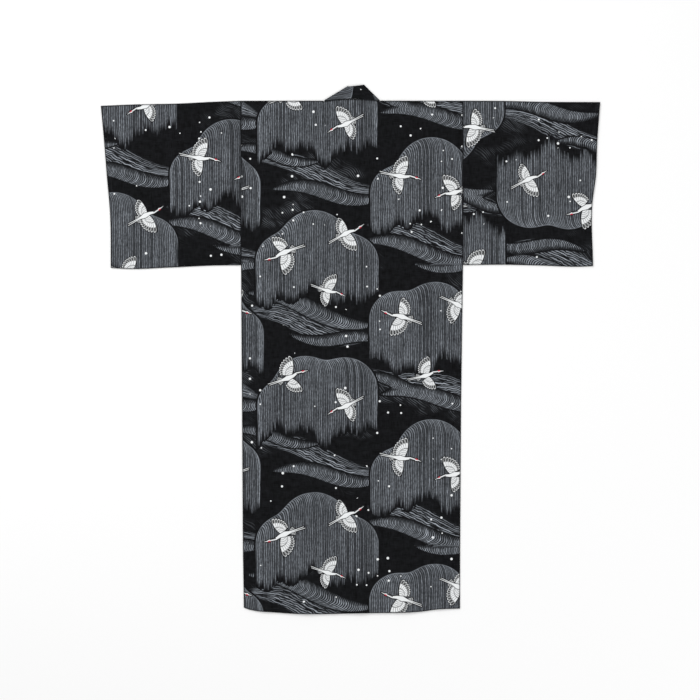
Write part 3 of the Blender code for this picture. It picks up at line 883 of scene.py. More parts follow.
def make_okumi(name, side, cloth):
    """One overlap panel: it widens from its point to the band's end, and is full width below it."""
    lift = 0.0 if side < 0 else RIGHT_LIFT
    own_edge = CENTRE_X - side * OKUMI_REACH
    inner = CENTRE_X + side * HALF_FRONT_GAP
    end_seam = float(seam_line(side, BAND_END_Y))
    first = shares(abs(end_seam - inner), cloth.spacing)
    second = shares(BAND_WIDTH, cloth.spacing)[1:]
    steps = len(first) + len(second)

    def row(y, seam_y):
        """Points across the panel at Y: to the band's seam as at seam_y, and on to the free edge."""
        y = np.broadcast_to(y, steps)
        start = front_edge(side, y[: len(first)])
        seam = seam_line(side, seam_y)
        x = np.concatenate([start + (seam - start) * first, seam + (own_edge - seam) * second])
        return np.stack([x, y, np.full(steps, lift + FRAME_WALL / 2)], axis=-1)

    rows = [row(y, y) for y in POINT_Y + (BAND_END_Y - POINT_Y) * shares(POINT_Y - BAND_END_Y, cloth.spacing)]
    upper_rows = len(rows)
    top = BAND_END_Y - SEAM_GAP - FRAME_WALL
    rough = np.concatenate([inner + (end_seam - inner) * first, end_seam + (own_edge - end_seam) * second])
    for share in shares(top - float(hem_y(0.0)), cloth.spacing):
        rows.append(row(top + (hem_y(rough) + FRONT_HEM_RISE - top) * share, BAND_END_Y))
    points = np.array(rows)
    keep = np.ones((len(points) - 1, steps - 1), bool)
    keep[:upper_rows, len(first) - 1 :] = False
    flat = points[..., :2].copy()
    x, y = points[..., 0], points[..., 1]
    to_hem = np.minimum(np.abs(x - own_edge), y - hem_y(x) - FRONT_HEM_RISE)
    to_sewn = np.minimum(np.abs(x - front_edge(side, y)), to_hem)
    edges = np.stack([to_sewn, to_sewn, x + y], axis=-1)
    if side > 0:
        points, flat, keep, edges = points[:, ::-1], flat[:, ::-1], keep[:, ::-1], edges[:, ::-1]
    total, wide = keep.shape
    upper = [Island((0, total), (0, wide), (0.010, 0.006), 0.82)]
    under = [Island((0, total), (0, wide), (0.160, 0.006), 0.82)]
    return cloth_wall(name + "_cloth", points, keep, cloth.wall, flat, edges, (upper, under), LAID[name])


def band_low(side):
    """Height of the band's middle surface on one front."""
    return (0.0 if side < 0 else RIGHT_LIFT) + FRAME_BAND_WALL / 2


def band_front(side, spacing):
    """Stations of the band on one front, square to its seam line, leaning up towards the neck."""
    low = band_low(side)
    top = SHOULDER_Y - BAND_TURN_ROOM
    stations = []
    for share in shares(top - BAND_END_Y, spacing):
        y = BAND_END_Y + (top - BAND_END_Y) * share
        seam = np.array([seam_line(side, y) - side * SEAM_GAP, y])
        step = seam_line(side, y + SEAM_STEP) - seam_line(side, y - SEAM_STEP)
        along = np.array([step, 2 * SEAM_STEP]) / math.hypot(step, 2 * SEAM_STEP)
        across = np.array([-side * along[1], side * along[0]])
        lean = np.array([0.0, BAND_LEAN * smooth(POINT_Y, SHOULDER_Y, y)])
        edge = seam + across * BAND_WIDTH + lean
        stations.append([[*seam, low], [*edge, low]])
    return stations


def band_turn(fold, steps):
    """Stations of the band over a neck fold: a half circle about the fold's slanting line."""
    low = band_low(fold.side)
    high = BACK_LIFT + FRAME_BAND_WALL / 2
    radius = (high - low) / 2
    seam_x = CENTRE_X + fold.side * (HALF_NECK - fold.seam_inset)
    seam = np.array([seam_x, neck_y(seam_x) + SEAM_GAP + FRAME_BAND_WALL / 2])
    edge = np.array([fold.edge_x, fold.edge_y])
    along = (edge - seam) / np.linalg.norm(edge - seam)
    out = np.array([fold.side * along[1], -fold.side * along[0]])
    edge = edge - out * (radius + FRAME_BAND_WALL / 2)
    stations = []
    for step in range(steps + 1):
        angle = -math.pi / 2 + math.pi * step / steps
        shift = out * radius * math.cos(angle)
        z = (low + high) / 2 + radius * math.sin(angle)
        stations.append([[*(seam + shift), z], [*(edge + shift), z]])
    return stations


def band_back(left, right, spacing):
    """Stations of the band across the back of the neck, along the back's neck edge."""
    (seam_left, edge_left), (seam_right, edge_right) = np.array(left), np.array(right)
    stations = []
    for share in shares(2 * HALF_NECK, spacing, NEAR_NECK)[1:-1]:
        x = seam_left[0] + (seam_right[0] - seam_left[0]) * share
        seam = [x, neck_y(x) + SEAM_GAP + FRAME_BAND_WALL / 2, seam_left[2]]
        stations.append([seam, list(edge_left + (edge_right - edge_left) * share)])
    return stations


def make_collar(cloth):
    """The band, as straight stations from its seam edge to its free edge, one after another."""
    spacing = cloth.spacing * BAND_FINER
    left = band_front(-1, spacing) + band_turn(NECK_FOLDS[0], cloth.turn_steps)
    right = band_front(1, spacing) + band_turn(NECK_FOLDS[1], cloth.turn_steps)
    back = band_back(left[-1], right[-1], spacing)
    stations = np.array(left + back + right[::-1])
    across = shares(BAND_WIDTH, spacing)[::-1]
    grid = stations[:, :1] + (stations[:, 1:] - stations[:, :1]) * across[None, :, None]
    middles = stations.mean(axis=1)
    run = np.concatenate([[0.0], np.cumsum(np.linalg.norm(np.diff(middles, axis=0), axis=1))])
    flat = np.stack(np.broadcast_arrays(-across[None, :] * BAND_WIDTH, run[:, None]), axis=-1)
    to_seam, to_edge = across * BAND_WIDTH, np.minimum(across, 1.0 - across) * BAND_WIDTH
    middle_of_turn = cloth.turn_steps // 2
    folds = run[[len(left) - 1 - middle_of_turn, len(left) + len(back) + middle_of_turn]]
    # Distance to each neck fold, so that the painted edge shade also darkens the print along the folds.
    to_fold = np.abs(run[:, None] - folds).min(axis=1)
    to_edge = np.minimum(to_edge[None, :], to_fold[:, None])
    edges = np.stack(np.broadcast_arrays(to_seam[None, :], to_edge, run[:, None]), axis=-1)
    keep = np.ones((len(grid) - 1, len(across) - 1), bool)
    total, wide = keep.shape
    half = total // 2
    upper = [
        Island((0, half), (0, wide), (0.010, 0.010), 1.0),
        Island((half, total), (0, wide), (0.080, 0.010), 1.0),
    ]
    under = [
        Island((0, half), (0, wide), (0.150, 0.010), 1.0),
        Island((half, total), (0, wide), (0.220, 0.010), 1.0),
    ]
    islands = (upper, under)
    return cloth_wall("collar_cloth", grid, keep, cloth.band_wall, flat, edges, islands, LAID["collar"])


def stitch_paths():
    """Lines of stitching over the floor, each with the side of the robe that it is on.

    A line keeps the same distance from a hem, or from a sleeve's outer edge down to the cuff's end.
    """
    share = np.linspace(0.0, 1.0, PATH_POINTS)
    low_left, low_right = float(left_side(-1.0)), float(right_side(-1.0))
    x = low_left + STITCH_INSET / 2 + (low_right - low_left - STITCH_INSET) * share
    paths = [(x, hem_y(x) + STITCH_INSET, 1)]
    for side in (-1, 1):
        outer = low_left if side < 0 else low_right
        x = outer - side * STITCH_INSET / 2 + (CENTRE_X - side * OKUMI_REACH - outer) * share * PANEL_SHARE
        paths.append((x, hem_y(x) + FRONT_HEM_RISE + STITCH_INSET, -1))
    for sleeve in SLEEVES:
        down = share * sleeve.cuff_share
        top, bottom = (float(curve(edge, "share", "y", 1.0)) for edge in (sleeve.top, sleeve.bottom))
        x = curve(sleeve.outer, "share", "x", down) - sleeve.side * STITCH_INSET
        y = top - STITCH_INSET / 2 + (bottom - top) * down
        paths += [(x, y, 1), (x, y, -1)]
    return paths


def stitch_places(pieces, pitch):
    """Each stitch's place, the way that it runs, and 1 on the upper side or -1 on the underside.

    Places come at even lengths along each line, and their heights from the cloth itself.
    """
    depsgraph = bpy.context.evaluated_depsgraph_get()
    clothes = [BVHTree.FromObject(piece, depsgraph) for piece in pieces]
    places, ways, ups = [], [], []
    for x, y, up in stitch_paths():
        run = np.concatenate([[0.0], np.cumsum(np.hypot(np.diff(x), np.diff(y)))])
        for at in np.arange(pitch / 2, run[-1], pitch):
            steps = (at - PATH_STEP, at + PATH_STEP)
            ends = [[np.interp(step, run, part) for part in (x, y)] for step in steps]
            spot = ((ends[0][0] + ends[1][0]) / 2, (ends[0][1] + ends[1][1]) / 2)
            found = [cloth.ray_cast((*spot, up * OVER_CLOTH), (0.0, 0.0, -up))[0] for cloth in clothes]
            heights = [place.z for place in found if place is not None]
            if heights:
                places.append((*spot, max(heights) if up > 0 else min(heights)))
                ways.append((ends[1][0] - ends[0][0], ends[1][1] - ends[0][1]))
                ups.append(up)
    return np.array(places), np.array(ways), np.array(ups, float)


def make_stitches(pieces, stitches):
    """Rounded bars along the lines of stitching, laid on whatever cloth is there.

    A stitch is rings about its own line, their radius the square root of the sine of the share
    along it.
    """
    places, ways, ups = stitch_places(pieces, stitches.pitch)
    random = np.random.default_rng(5)
    turn = random.normal(0.0, STITCH_TURN, len(ways)) + np.arctan2(ways[:, 1], ways[:, 0])
    length = stitches.length * random.uniform(*STITCH_LENGTHS, len(ways))
    places[:, 2] -= ups * STITCH_SUNK

    share = np.array(STITCH_RINGS)
    radius = stitches.thread / 2 * np.sqrt(np.sin(math.pi * share) + 1e-4)
    around = 2 * math.pi * np.arange(STITCH_SIDES) / STITCH_SIDES
    along = (share[:, None] - 0.5) * np.ones(STITCH_SIDES)
    across, rise = radius[:, None] * np.cos(around), radius[:, None] * np.sin(around)
    c, s = (part[:, None, None] for part in (np.cos(turn), np.sin(turn)))
    run = along * length[:, None, None]
    flip = ups[:, None, None]
    bars = np.stack([c * run - s * across * flip, s * run + c * across * flip, rise * flip], axis=-1)
    points = (bars + places[:, None, None, :]).reshape(-1, 3)

    rings = np.arange(len(share) * STITCH_SIDES).reshape(len(share), STITCH_SIDES)
    onward = np.roll(rings, -1, axis=1)
    sides = np.stack([rings[:-1], rings[1:], onward[1:], onward[:-1]], axis=-1).reshape(-1, 4)
    first = np.arange(len(places))[:, None, None] * rings.size
    faces = (sides[None] + first).reshape(-1, 4).tolist()
    for cap in (rings[0], rings[-1][::-1]):
        faces += (cap[None] + first[:, :, 0]).tolist()
    mesh = bpy.data.meshes.new("machine_stitches")
    mesh.from_pydata(points, [], faces)
    mesh.shade_smooth()
    piece = bpy.data.objects.new("machine_stitches", mesh)
    bpy.context.scene.collection.objects.link(piece)
    return piece


class Graph:
    """Shorthand for building one material's nodes."""

    def __init__(self, name):
        self.material = bpy.data.materials.new(name)
        self.material.use_nodes = True
        self.tree = self.material.node_tree
        self.shader = self.tree.nodes["Principled BSDF"]

    def put(self, node, index, value):
        """Link an output to a node's input, or set the input to a value."""
        if hasattr(value, "is_output"):
            self.tree.links.new(value, node.inputs[index])
        elif value is not None:
            node.inputs[index].default_value = value

    def math(self, operation, a, b=None, c=None):
        """One operation on up to three numbers."""
        node = self.tree.nodes.new("ShaderNodeMath")
        node.operation = operation
        for index, value in enumerate((a, b, c)):
            self.put(node, index, value)
        return node.outputs[0]

    def add(self, a, b):
        """The sum."""
        return self.math("ADD", a, b)

    def less(self, a, b):
        """The first without the second."""
        return self.math("SUBTRACT", a, b)

    def times(self, a, b):
        """The product."""
        return self.math("MULTIPLY", a, b)

    def over(self, a, b):
        """The first divided by the second."""
        return self.math("DIVIDE", a, b)

    def fit(self, value, scale, shift):
        """Value times scale, plus shift."""
        return self.math("MULTIPLY_ADD", value, scale, shift)

    def bare(self, value):
        """The value without its sign."""
        return self.math("ABSOLUTE", value)

    def either(self, a, b):
        """The greater one."""
        return self.math("MAXIMUM", a, b)

    def both(self, a, b):
        """The lesser one."""
        return self.math("MINIMUM", a, b)

    def negated(self, share):
        """What a share leaves of 1."""
        return self.math("SUBTRACT", 1.0, share)

    def fading(self, distance, reach):
        """1 at no distance, and the exponential of minus the distance in reaches beyond."""
        return self.math("EXPONENT", self.times(distance, -1.0 / reach))

    def wave(self, place, pitch):
        """A sine with this pitch."""
        return self.math("SINE", self.times(place, 2 * math.pi / pitch))

    def step(self, value, low, high):
        """0 where value is at low, 1 at high, with an even S between them."""
        node = self.tree.nodes.new("ShaderNodeMapRange")
        node.interpolation_type = "SMOOTHSTEP"
        for index, item in enumerate((value, low, high)):
            self.put(node, index, item)
        return node.outputs[0]

    def lines(self, value, pitch, half_width, soft):
        """1 on lines that lie pitch apart along a value, and the number of the line."""
        place = self.over(value, pitch)
        off = self.bare(self.less(self.math("FRACT", place), 0.5))
        edge = self.add(half_width, soft)
        return self.negated(self.step(off, half_width, edge)), self.math("FLOOR", place)

    def random(self, value, salt):
        """An even random number for each whole number."""
        node = self.tree.nodes.new("ShaderNodeTexWhiteNoise")
        node.noise_dimensions = "1D"
        self.put(node, "W", self.add(value, salt))
        return node.outputs["Value"]

    def vector(self, x, y):
        """A place in the plane."""
        node = self.tree.nodes.new("ShaderNodeCombineXYZ")
        self.put(node, 0, x)
        self.put(node, 1, y)
        return node.outputs[0]

    def noise(self, x, y, scale, detail=2.0):
        """Cloudy numbers about a half, over the plane."""
        node = self.tree.nodes.new("ShaderNodeTexNoise")
        node.noise_dimensions = "2D"
        self.put(node, "Vector", self.vector(x, y))
        node.inputs["Scale"].default_value = scale
        node.inputs["Detail"].default_value = detail
        return node.outputs["Fac"]

    def split(self, vector):
        """The three numbers of a vector."""
        node = self.tree.nodes.new("ShaderNodeSeparateXYZ")
        self.put(node, 0, vector)
        return tuple(node.outputs)

    def field(self, name):
        """The three numbers of an attribute."""
        node = self.tree.nodes.new("ShaderNodeAttribute")
        node.attribute_name = name
        return self.split(node.outputs["Vector"])

    def place(self):
        """The place on the flat cloth."""
        node = self.tree.nodes.new("ShaderNodeUVMap")
        node.uv_map = "Cloth"
        return self.split(node.outputs[0])[:2]

    def relief(self, height, strength, distance):
        """A bump of the surface by a height."""
        node = self.tree.nodes.new("ShaderNodeBump")
        node.inputs["Strength"].default_value = strength
        node.inputs["Distance"].default_value = distance
        self.put(node, "Height", height)
        self.put(self.shader, "Normal", node.outputs[0])

    def mix(self, share, first, second):
        """A colour between two, by the share of the second."""
        node = self.tree.nodes.new("ShaderNodeMix")
        node.data_type = "RGBA"
        self.put(node, 0, share)
        self.put(node, 6, first)
        self.put(node, 7, second)
        return node.outputs[2]


def sewing_thread(colour):
    """Twisted cotton thread: slanting plies, with a painted highlight that makes each ply a little paler
    where it would catch the light.
    """
    g = Graph("sewing_thread")
    x, y, z = g.split(g.tree.nodes.new("ShaderNodeTexCoord").outputs["Object"])
    ply = g.wave(g.add(g.add(x, y), z), PLY_PITCH)
    # Painted highlight and shade: each ply runs from a darker copy of the thread colour to a paler one.
    tone_and_sheen = g.fit(ply, 0.25, 0.6)
    g.put(g.shader, "Base Color", g.mix(tone_and_sheen, tinted(colour, 0.5), tinted(colour, 1.7)))
    g.relief(ply, 0.5, PLY_DEPTH)
    g.shader.inputs["Roughness"].default_value = 0.62
    g.shader.inputs["Sheen Weight"].default_value = 0.15
    return g.material


# A crane's strokes, in its own frame: one end, the other end, and the half width at each
Stroke = namedtuple("Stroke", "x0 y0 x1 y1 half0 half1")
FLESH = [
    Stroke(0.26, 0.01, 0.02, 0.0, 0.075, 0.115),
    Stroke(0.02, 0.0, -0.24, 0.0, 0.115, 0.050),
    Stroke(0.28, 0.01, 0.50, 0.075, 0.070, 0.046),
    Stroke(0.50, 0.075, 0.80, 0.045, 0.046, 0.034),
    Stroke(0.80, 0.050, 0.87, 0.045, 0.054, 0.036),
    Stroke(0.90, 0.040, 1.06, 0.015, 0.020, 0.006),
    Stroke(-0.26, 0.02, -0.95, 0.06, 0.020, 0.012),
    Stroke(-0.26, -0.02, -0.90, -0.02, 0.020, 0.012),
]
THROAT = Stroke(0.50, 0.050, 0.76, 0.022, 0.020, 0.014)
CROWN = Stroke(0.795, 0.082, 0.865, 0.070, 0.032, 0.026)
STROKE_SOFT = 0.008
CRANE_GAP = (-0.055, -0.030)
CRANE_OUTLINE = (-0.040, -0.030)


def stroke(g, p, q, part):
    """Distance inside a tapering stroke: its half width there, less the distance to its line."""
    ax, ay = part.x1 - part.x0, part.y1 - part.y0
    length2 = ax * ax + ay * ay
    dx, dy = g.less(p, part.x0), g.less(q, part.y0)
    along = g.fit(dx, ax / length2, g.times(dy, ay / length2))
    share = g.either(g.both(along, 1.0), 0.0)
    off_x = g.less(dx, g.times(share, ax))
    off_y = g.less(dy, g.times(share, ay))
    off = g.math("SQRT", g.fit(off_x, off_x, g.times(off_y, off_y)))
    half = g.fit(share, part.half1 - part.half0, part.half0)
    return g.less(half, off)


# Fans of feathers: shoulder, angles of the first and last feather, number, their lengths, bend and lift
Wing = namedtuple("Wing", "x y first last feathers lead trail bend lift")
NEAR_WING = Wing(0.20, 0.03, 62, 158, 9, 1.00, 0.50, -0.45, -0.30)
FAR_WING = Wing(0.16, -0.03, -62, -150, 8, 0.86, 0.42, 0.50, 0.35)
TAIL = Wing(-0.10, 0.0, 146, 180, 3, 0.36, 0.40, 0.0, 0.0)


# Where a feather's marks lie: shares of its half width for ribs, and of its length for the rest
RIB_SIDE, RIB_START = (0.72, 0.92), (0.50, 0.56)
SCALE_ROW, SCALE_END, SCALE_START = (0.60, 0.80), (0.44, 0.50), (0.10, 0.16)
BAND_START, BAND_STOP = (0.47, 0.49), (0.515, 0.535)
TIP_START, TIP_SIDE, TIP_RIM = (0.72, 0.78), (0.62, 0.74), (0.025, 0.040)


def feathers(g, p, q, wing, pose):
    """A fan of feathers: distance inside it, and the share of its dark marks.

    The angle round the shoulder, bent back in step with the distance, is cut into even sectors.
    Each sector is one feather with a round tip, and their lengths run from lead to trail. Rows
    of scales cover the feathers' roots, and a dark patch lies near each tip.
    """
    dx, dy = g.less(p, wing.x), g.less(q, wing.y)
    far = g.math("SQRT", g.fit(dx, dx, g.times(dy, dy)))
    angle = g.fit(pose, wing.lift, g.math("ARCTAN2", dy, dx))
    bent = g.fit(far, wing.bend, angle)
    spread = math.radians(wing.last - wing.first)
    share = g.over(g.less(bent, math.radians(wing.first)), spread)
    place = g.times(share, float(wing.feathers))
    number = g.math("FLOOR", place)
    off = g.bare(g.fit(g.math("FRACT", place), 2.0, -1.0))
    each = (wing.trail - wing.lead) / wing.feathers
    length = g.fit(g.add(number, 0.5), each, wing.lead)
    tip = g.times(length, g.fit(g.times(off, off), -0.10, 1.0))
    side = g.times(g.times(g.both(share, g.negated(share)), abs(spread)), far)
    inside = g.both(g.less(tip, far), side)
    reach = g.over(far, length)
    ribs = g.times(g.step(off, *RIB_SIDE), g.step(reach, *RIB_START))
    row = g.math("FRACT", g.fit(g.times(off, off), -0.45, g.times(far, 11.0)))
    scales = g.times(g.step(row, *SCALE_ROW), g.negated(g.step(reach, *SCALE_END)))
    scales = g.times(scales, g.step(far, *SCALE_START))
    band = g.times(g.step(reach, *BAND_START), g.negated(g.step(reach, *BAND_STOP)))
    tips = g.times(g.step(reach, *TIP_START), g.negated(g.step(off, *TIP_SIDE)))
    tips = g.times(tips, g.step(g.less(tip, far), *TIP_RIM))
    marks = g.add(g.times(ribs, 0.9), g.times(scales, 0.8))
    marks = g.add(marks, g.fit(band, 0.85, tips))
    return inside, g.times(g.both(marks, 1.0), g.step(inside, 0.0, 0.004))


def crane(g):
    """One flying crane from the attribute's frame: shape, dark gap round it, white and red."""
    p, q, pose = g.field("crane")
    near, near_dark = feathers(g, p, q, NEAR_WING, pose)
    far, far_dark = feathers(g, p, q, FAR_WING, pose)
    tail, tail_dark = feathers(g, p, g.bare(q), TAIL, 0.0)
    throat = g.step(stroke(g, p, q, THROAT), -STROKE_SOFT, STROKE_SOFT)
    crown = g.step(stroke(g, p, q, CROWN), -STROKE_SOFT, STROKE_SOFT)
    flesh = reduce(g.either, [stroke(g, p, q, part) for part in FLESH])
    all_parts = g.either(flesh, g.either(g.either(near, far), tail))
    shape = g.step(all_parts, -STROKE_SOFT, STROKE_SOFT)
    gap = g.step(all_parts, *CRANE_GAP)
    dark = g.either(g.either(near_dark, far_dark), g.either(tail_dark, g.times(g.step(tail, 0.0, 0.01), 0.5)))
    dark = g.either(dark, g.times(g.step(flesh, *CRANE_OUTLINE), 0.9))
    dark = g.times(dark, g.negated(g.step(flesh, -STROKE_SOFT, STROKE_SOFT)))
    white = g.times(shape, g.fit(g.either(dark, throat), -0.94, 1.0))
    return gap, white, crown


# The lines of the print: soft edges as shares of their pitch, lengths in metres, inks as shares of white
LINE_SOFT = 0.16
HILL_SOFT = 0.20
HILL_SWAY = 0.0042
HILL_INK = 0.145
HILL_INK_SPREAD = 0.12
HILL_WASH = 0.024
HILL_FALL = 0.030
RIM = (0.0010, 0.0004, 0.0016)
STREAM_INK = 0.22
STREAM_INK_SPREAD = 0.30
STREAM_WASH = 0.014
STREAM_FEATHER = (0.016, 0.0022)
MIST_INK = 0.130
MIST_WASH = 0.006


def hill(g, layer, u, v, pattern):
    """One layer of hills: the brightness of its lines, and where it hides what lies behind."""
    depth, height, lesser = g.field(layer)
    bend = g.times(g.fading(depth, pattern.hook_depth), pattern.hook)
    bend = g.times(bend, g.step(height, 0.11, 0.20))
    sway = g.times(g.less(g.noise(g.times(u, 60.0), g.times(v, 30.0), 1.0, 3.0), 0.5), HILL_SWAY)
    width = g.fit(g.noise(u, v, 80.0), 0.16, 0.07)
    lines, line = g.lines(g.add(u, g.add(bend, sway)), pattern.rain_pitch, width, HILL_SOFT)
    strength = g.fit(g.random(line, 3.0), HILL_INK_SPREAD, HILL_INK)
    kept = g.step(g.random(line, 7.0), 0.08, 0.12)
    strength = g.times(strength, g.fit(kept, 0.65, 0.35))
    patchy = g.noise(g.times(line, 0.61), g.times(v, 26.0), 1.0, 2.0)
    broken = g.noise(g.times(line, 1.7), g.times(v, 125.0), 1.0, 1.0)
    uneven = g.fit(patchy, 1.1, g.fit(broken, 1.5, -0.28))
    strength = g.times(strength, g.either(uneven, 0.15))
    foot = g.fit(g.less(g.random(line, 11.0), 0.5), pattern.ragged, height)
    fall = g.step(foot, 0.0, HILL_FALL)
    edge = g.negated(g.step(g.bare(g.less(lesser, RIM[0])), *RIM[1:]))
    edge = g.times(edge, g.fit(g.noise(u, v, 30.0), 0.42, 0.02))
    strokes = g.fit(lines, strength, HILL_WASH)
    near_top = g.fit(g.negated(g.step(depth, 0.004, 0.030)), 0.35, 1.0)
    shade = g.times(g.times(g.times(strokes, near_top), fall), g.step(lesser, 0.0, 0.0012))
    shade = g.either(shade, g.times(edge, g.step(height, 0.05, 0.10)))
    hides = g.step(g.both(lesser, g.add(foot, 0.004)), -0.0060, -0.0040)
    return shade, hides


def stream(g, layer, u, v, pattern):
    """One layer of streams: brightness of its lines, and where it hides what lies behind."""
    along, inside, across = g.field(layer)
    ripple = g.less(g.noise(u, v, 42.0), 0.5)
    if layer == "stream_a":
        place, pitch = g.fit(ripple, 0.0030, along), pattern.stream_pitch
        feather = g.fit(g.step(across, -0.35, 0.65), *STREAM_FEATHER)
        broken = g.noise(g.times(along, 60.0), g.times(across, 1.4), 1.0, 2.0)
        feather = g.times(feather, g.fit(broken, 1.6, 0.2))
        ends = g.either(g.both(g.over(g.both(inside, 0.05), feather), 1.0), 0.0)
    else:
        place, pitch = g.fit(ripple, 0.32, across), 1.0 / STREAM_LINES
        broken = g.noise(g.times(along, 22.0), g.times(across, 5.0), 1.0, 2.0)
        ends = g.times(g.step(inside, 0.0, 0.0080), g.step(broken, 0.30, 0.52))
    width = g.fit(g.noise(u, v, 55.0), 0.16, 0.04)
    lines, line = g.lines(place, pitch, width, LINE_SOFT)
    strength = g.fit(g.random(line, 17.0), STREAM_INK_SPREAD, STREAM_INK)
    uneven = g.fit(g.noise(g.times(line, 0.7), g.times(across, 2.5), 1.0, 1.0), 1.3, 0.35)
    strength = g.times(strength, uneven)
    wash = g.times(g.step(inside, 0.0, 0.010), STREAM_WASH)
    shade = g.times(g.fit(lines, strength, wash), ends)
    return shade, g.step(inside, -0.0040, -0.0020)


def mist(g, u, v, pattern):
    """Faint slanting strokes in drifts over the black ground."""
    drift = g.noise(g.times(u, 4.2), g.times(v, 9.5), 1.0, 2.0)
    drift = g.step(drift, 0.54, 0.70)
    slant = g.fit(u, 0.62, g.times(v, 0.78))
    bow = g.times(g.noise(g.times(u, 14.0), g.times(v, 14.0), 1.0, 1.0), 0.030)
    lines, line = g.lines(g.add(slant, bow), pattern.stream_pitch, 0.08, LINE_SOFT)
    ends = g.noise(g.times(line, 0.37), g.less(g.times(u, 21.0), g.times(v, 16.0)), 1.0, 1.0)
    lines = g.times(lines, g.step(ends, 0.34, 0.60))
    return g.times(drift, g.fit(lines, MIST_INK, MIST_WASH))


def landscape(g, u, v, pattern):
    """Hills over streams and mist: the brightness of all the lines, where nothing nearer hides them."""
    hill_a, hides_a = hill(g, "hill_a", u, v, pattern)
    hill_b, hides_b = hill(g, "hill_b", u, v, pattern)
    arcs, hides_arcs = stream(g, "stream_a", u, v, pattern)
    wisps = stream(g, "stream_b", u, v, pattern)[0]
    flow = g.either(arcs, g.times(wisps, g.negated(hides_arcs)))
    flow = g.either(flow, g.times(mist(g, u, v, pattern), g.negated(hides_arcs)))
    land = g.either(hill_a, g.times(hill_b, g.negated(hides_a)))
    hidden = g.either(hides_a, hides_b)
    return g.either(land, g.times(flow, g.negated(hidden)))


# Drops: cells a metre, how evenly they lie, how many are kept, and their radius in cells
DROP_CELLS = 34.0
DROP_UNEVEN = 0.75
DROPS_IN_GROUP = 0.36
DROPS_ALONE = 0.018
DROP_RADIUS = 0.055
DROP_SPREAD = 0.065
DROP_SOFT = 0.014


def dots(g, u, v):
    """White drops in twos and threes."""
    node = g.tree.nodes.new("ShaderNodeTexVoronoi")
    node.voronoi_dimensions = "2D"
    g.put(node, "Vector", g.vector(u, v))
    node.inputs["Scale"].default_value = DROP_CELLS
    node.inputs["Randomness"].default_value = DROP_UNEVEN
    chance = g.tree.nodes.new("ShaderNodeSeparateColor")
    g.put(chance, 0, node.outputs["Color"])
    grouped = g.times(g.step(g.noise(u, v, 11.0, 0.0), 0.58, 0.62), DROPS_IN_GROUP)
    chosen = g.step(g.less(g.add(grouped, DROPS_ALONE), chance.outputs[0]), 0.0, 0.001)
    radius = g.fit(chance.outputs[1], DROP_SPREAD, DROP_RADIUS)
    drop = g.step(g.less(radius, node.outputs["Distance"]), -DROP_SOFT, DROP_SOFT)
    return g.times(chosen, drop)


# The look of the cotton, in metres: painted shade darkening the edges, the reach of ironed lines, and puckers
# at a seam
EDGE_SHADOW = (0.0010, 0.0044)
PALER_REACH = 0.0050
RIDGE_REACH = 0.0022
PUCKER_REACH = 0.0075
PUCKER_PITCH = 0.0105
PALER_INK, PALER_GROUND = 0.65, 0.40
GROUND_DARKEST, GROUND_PALEST = 0.25, 1.75
RELIEF_STRENGTH, RELIEF_DEPTH = 0.60, 0.00012


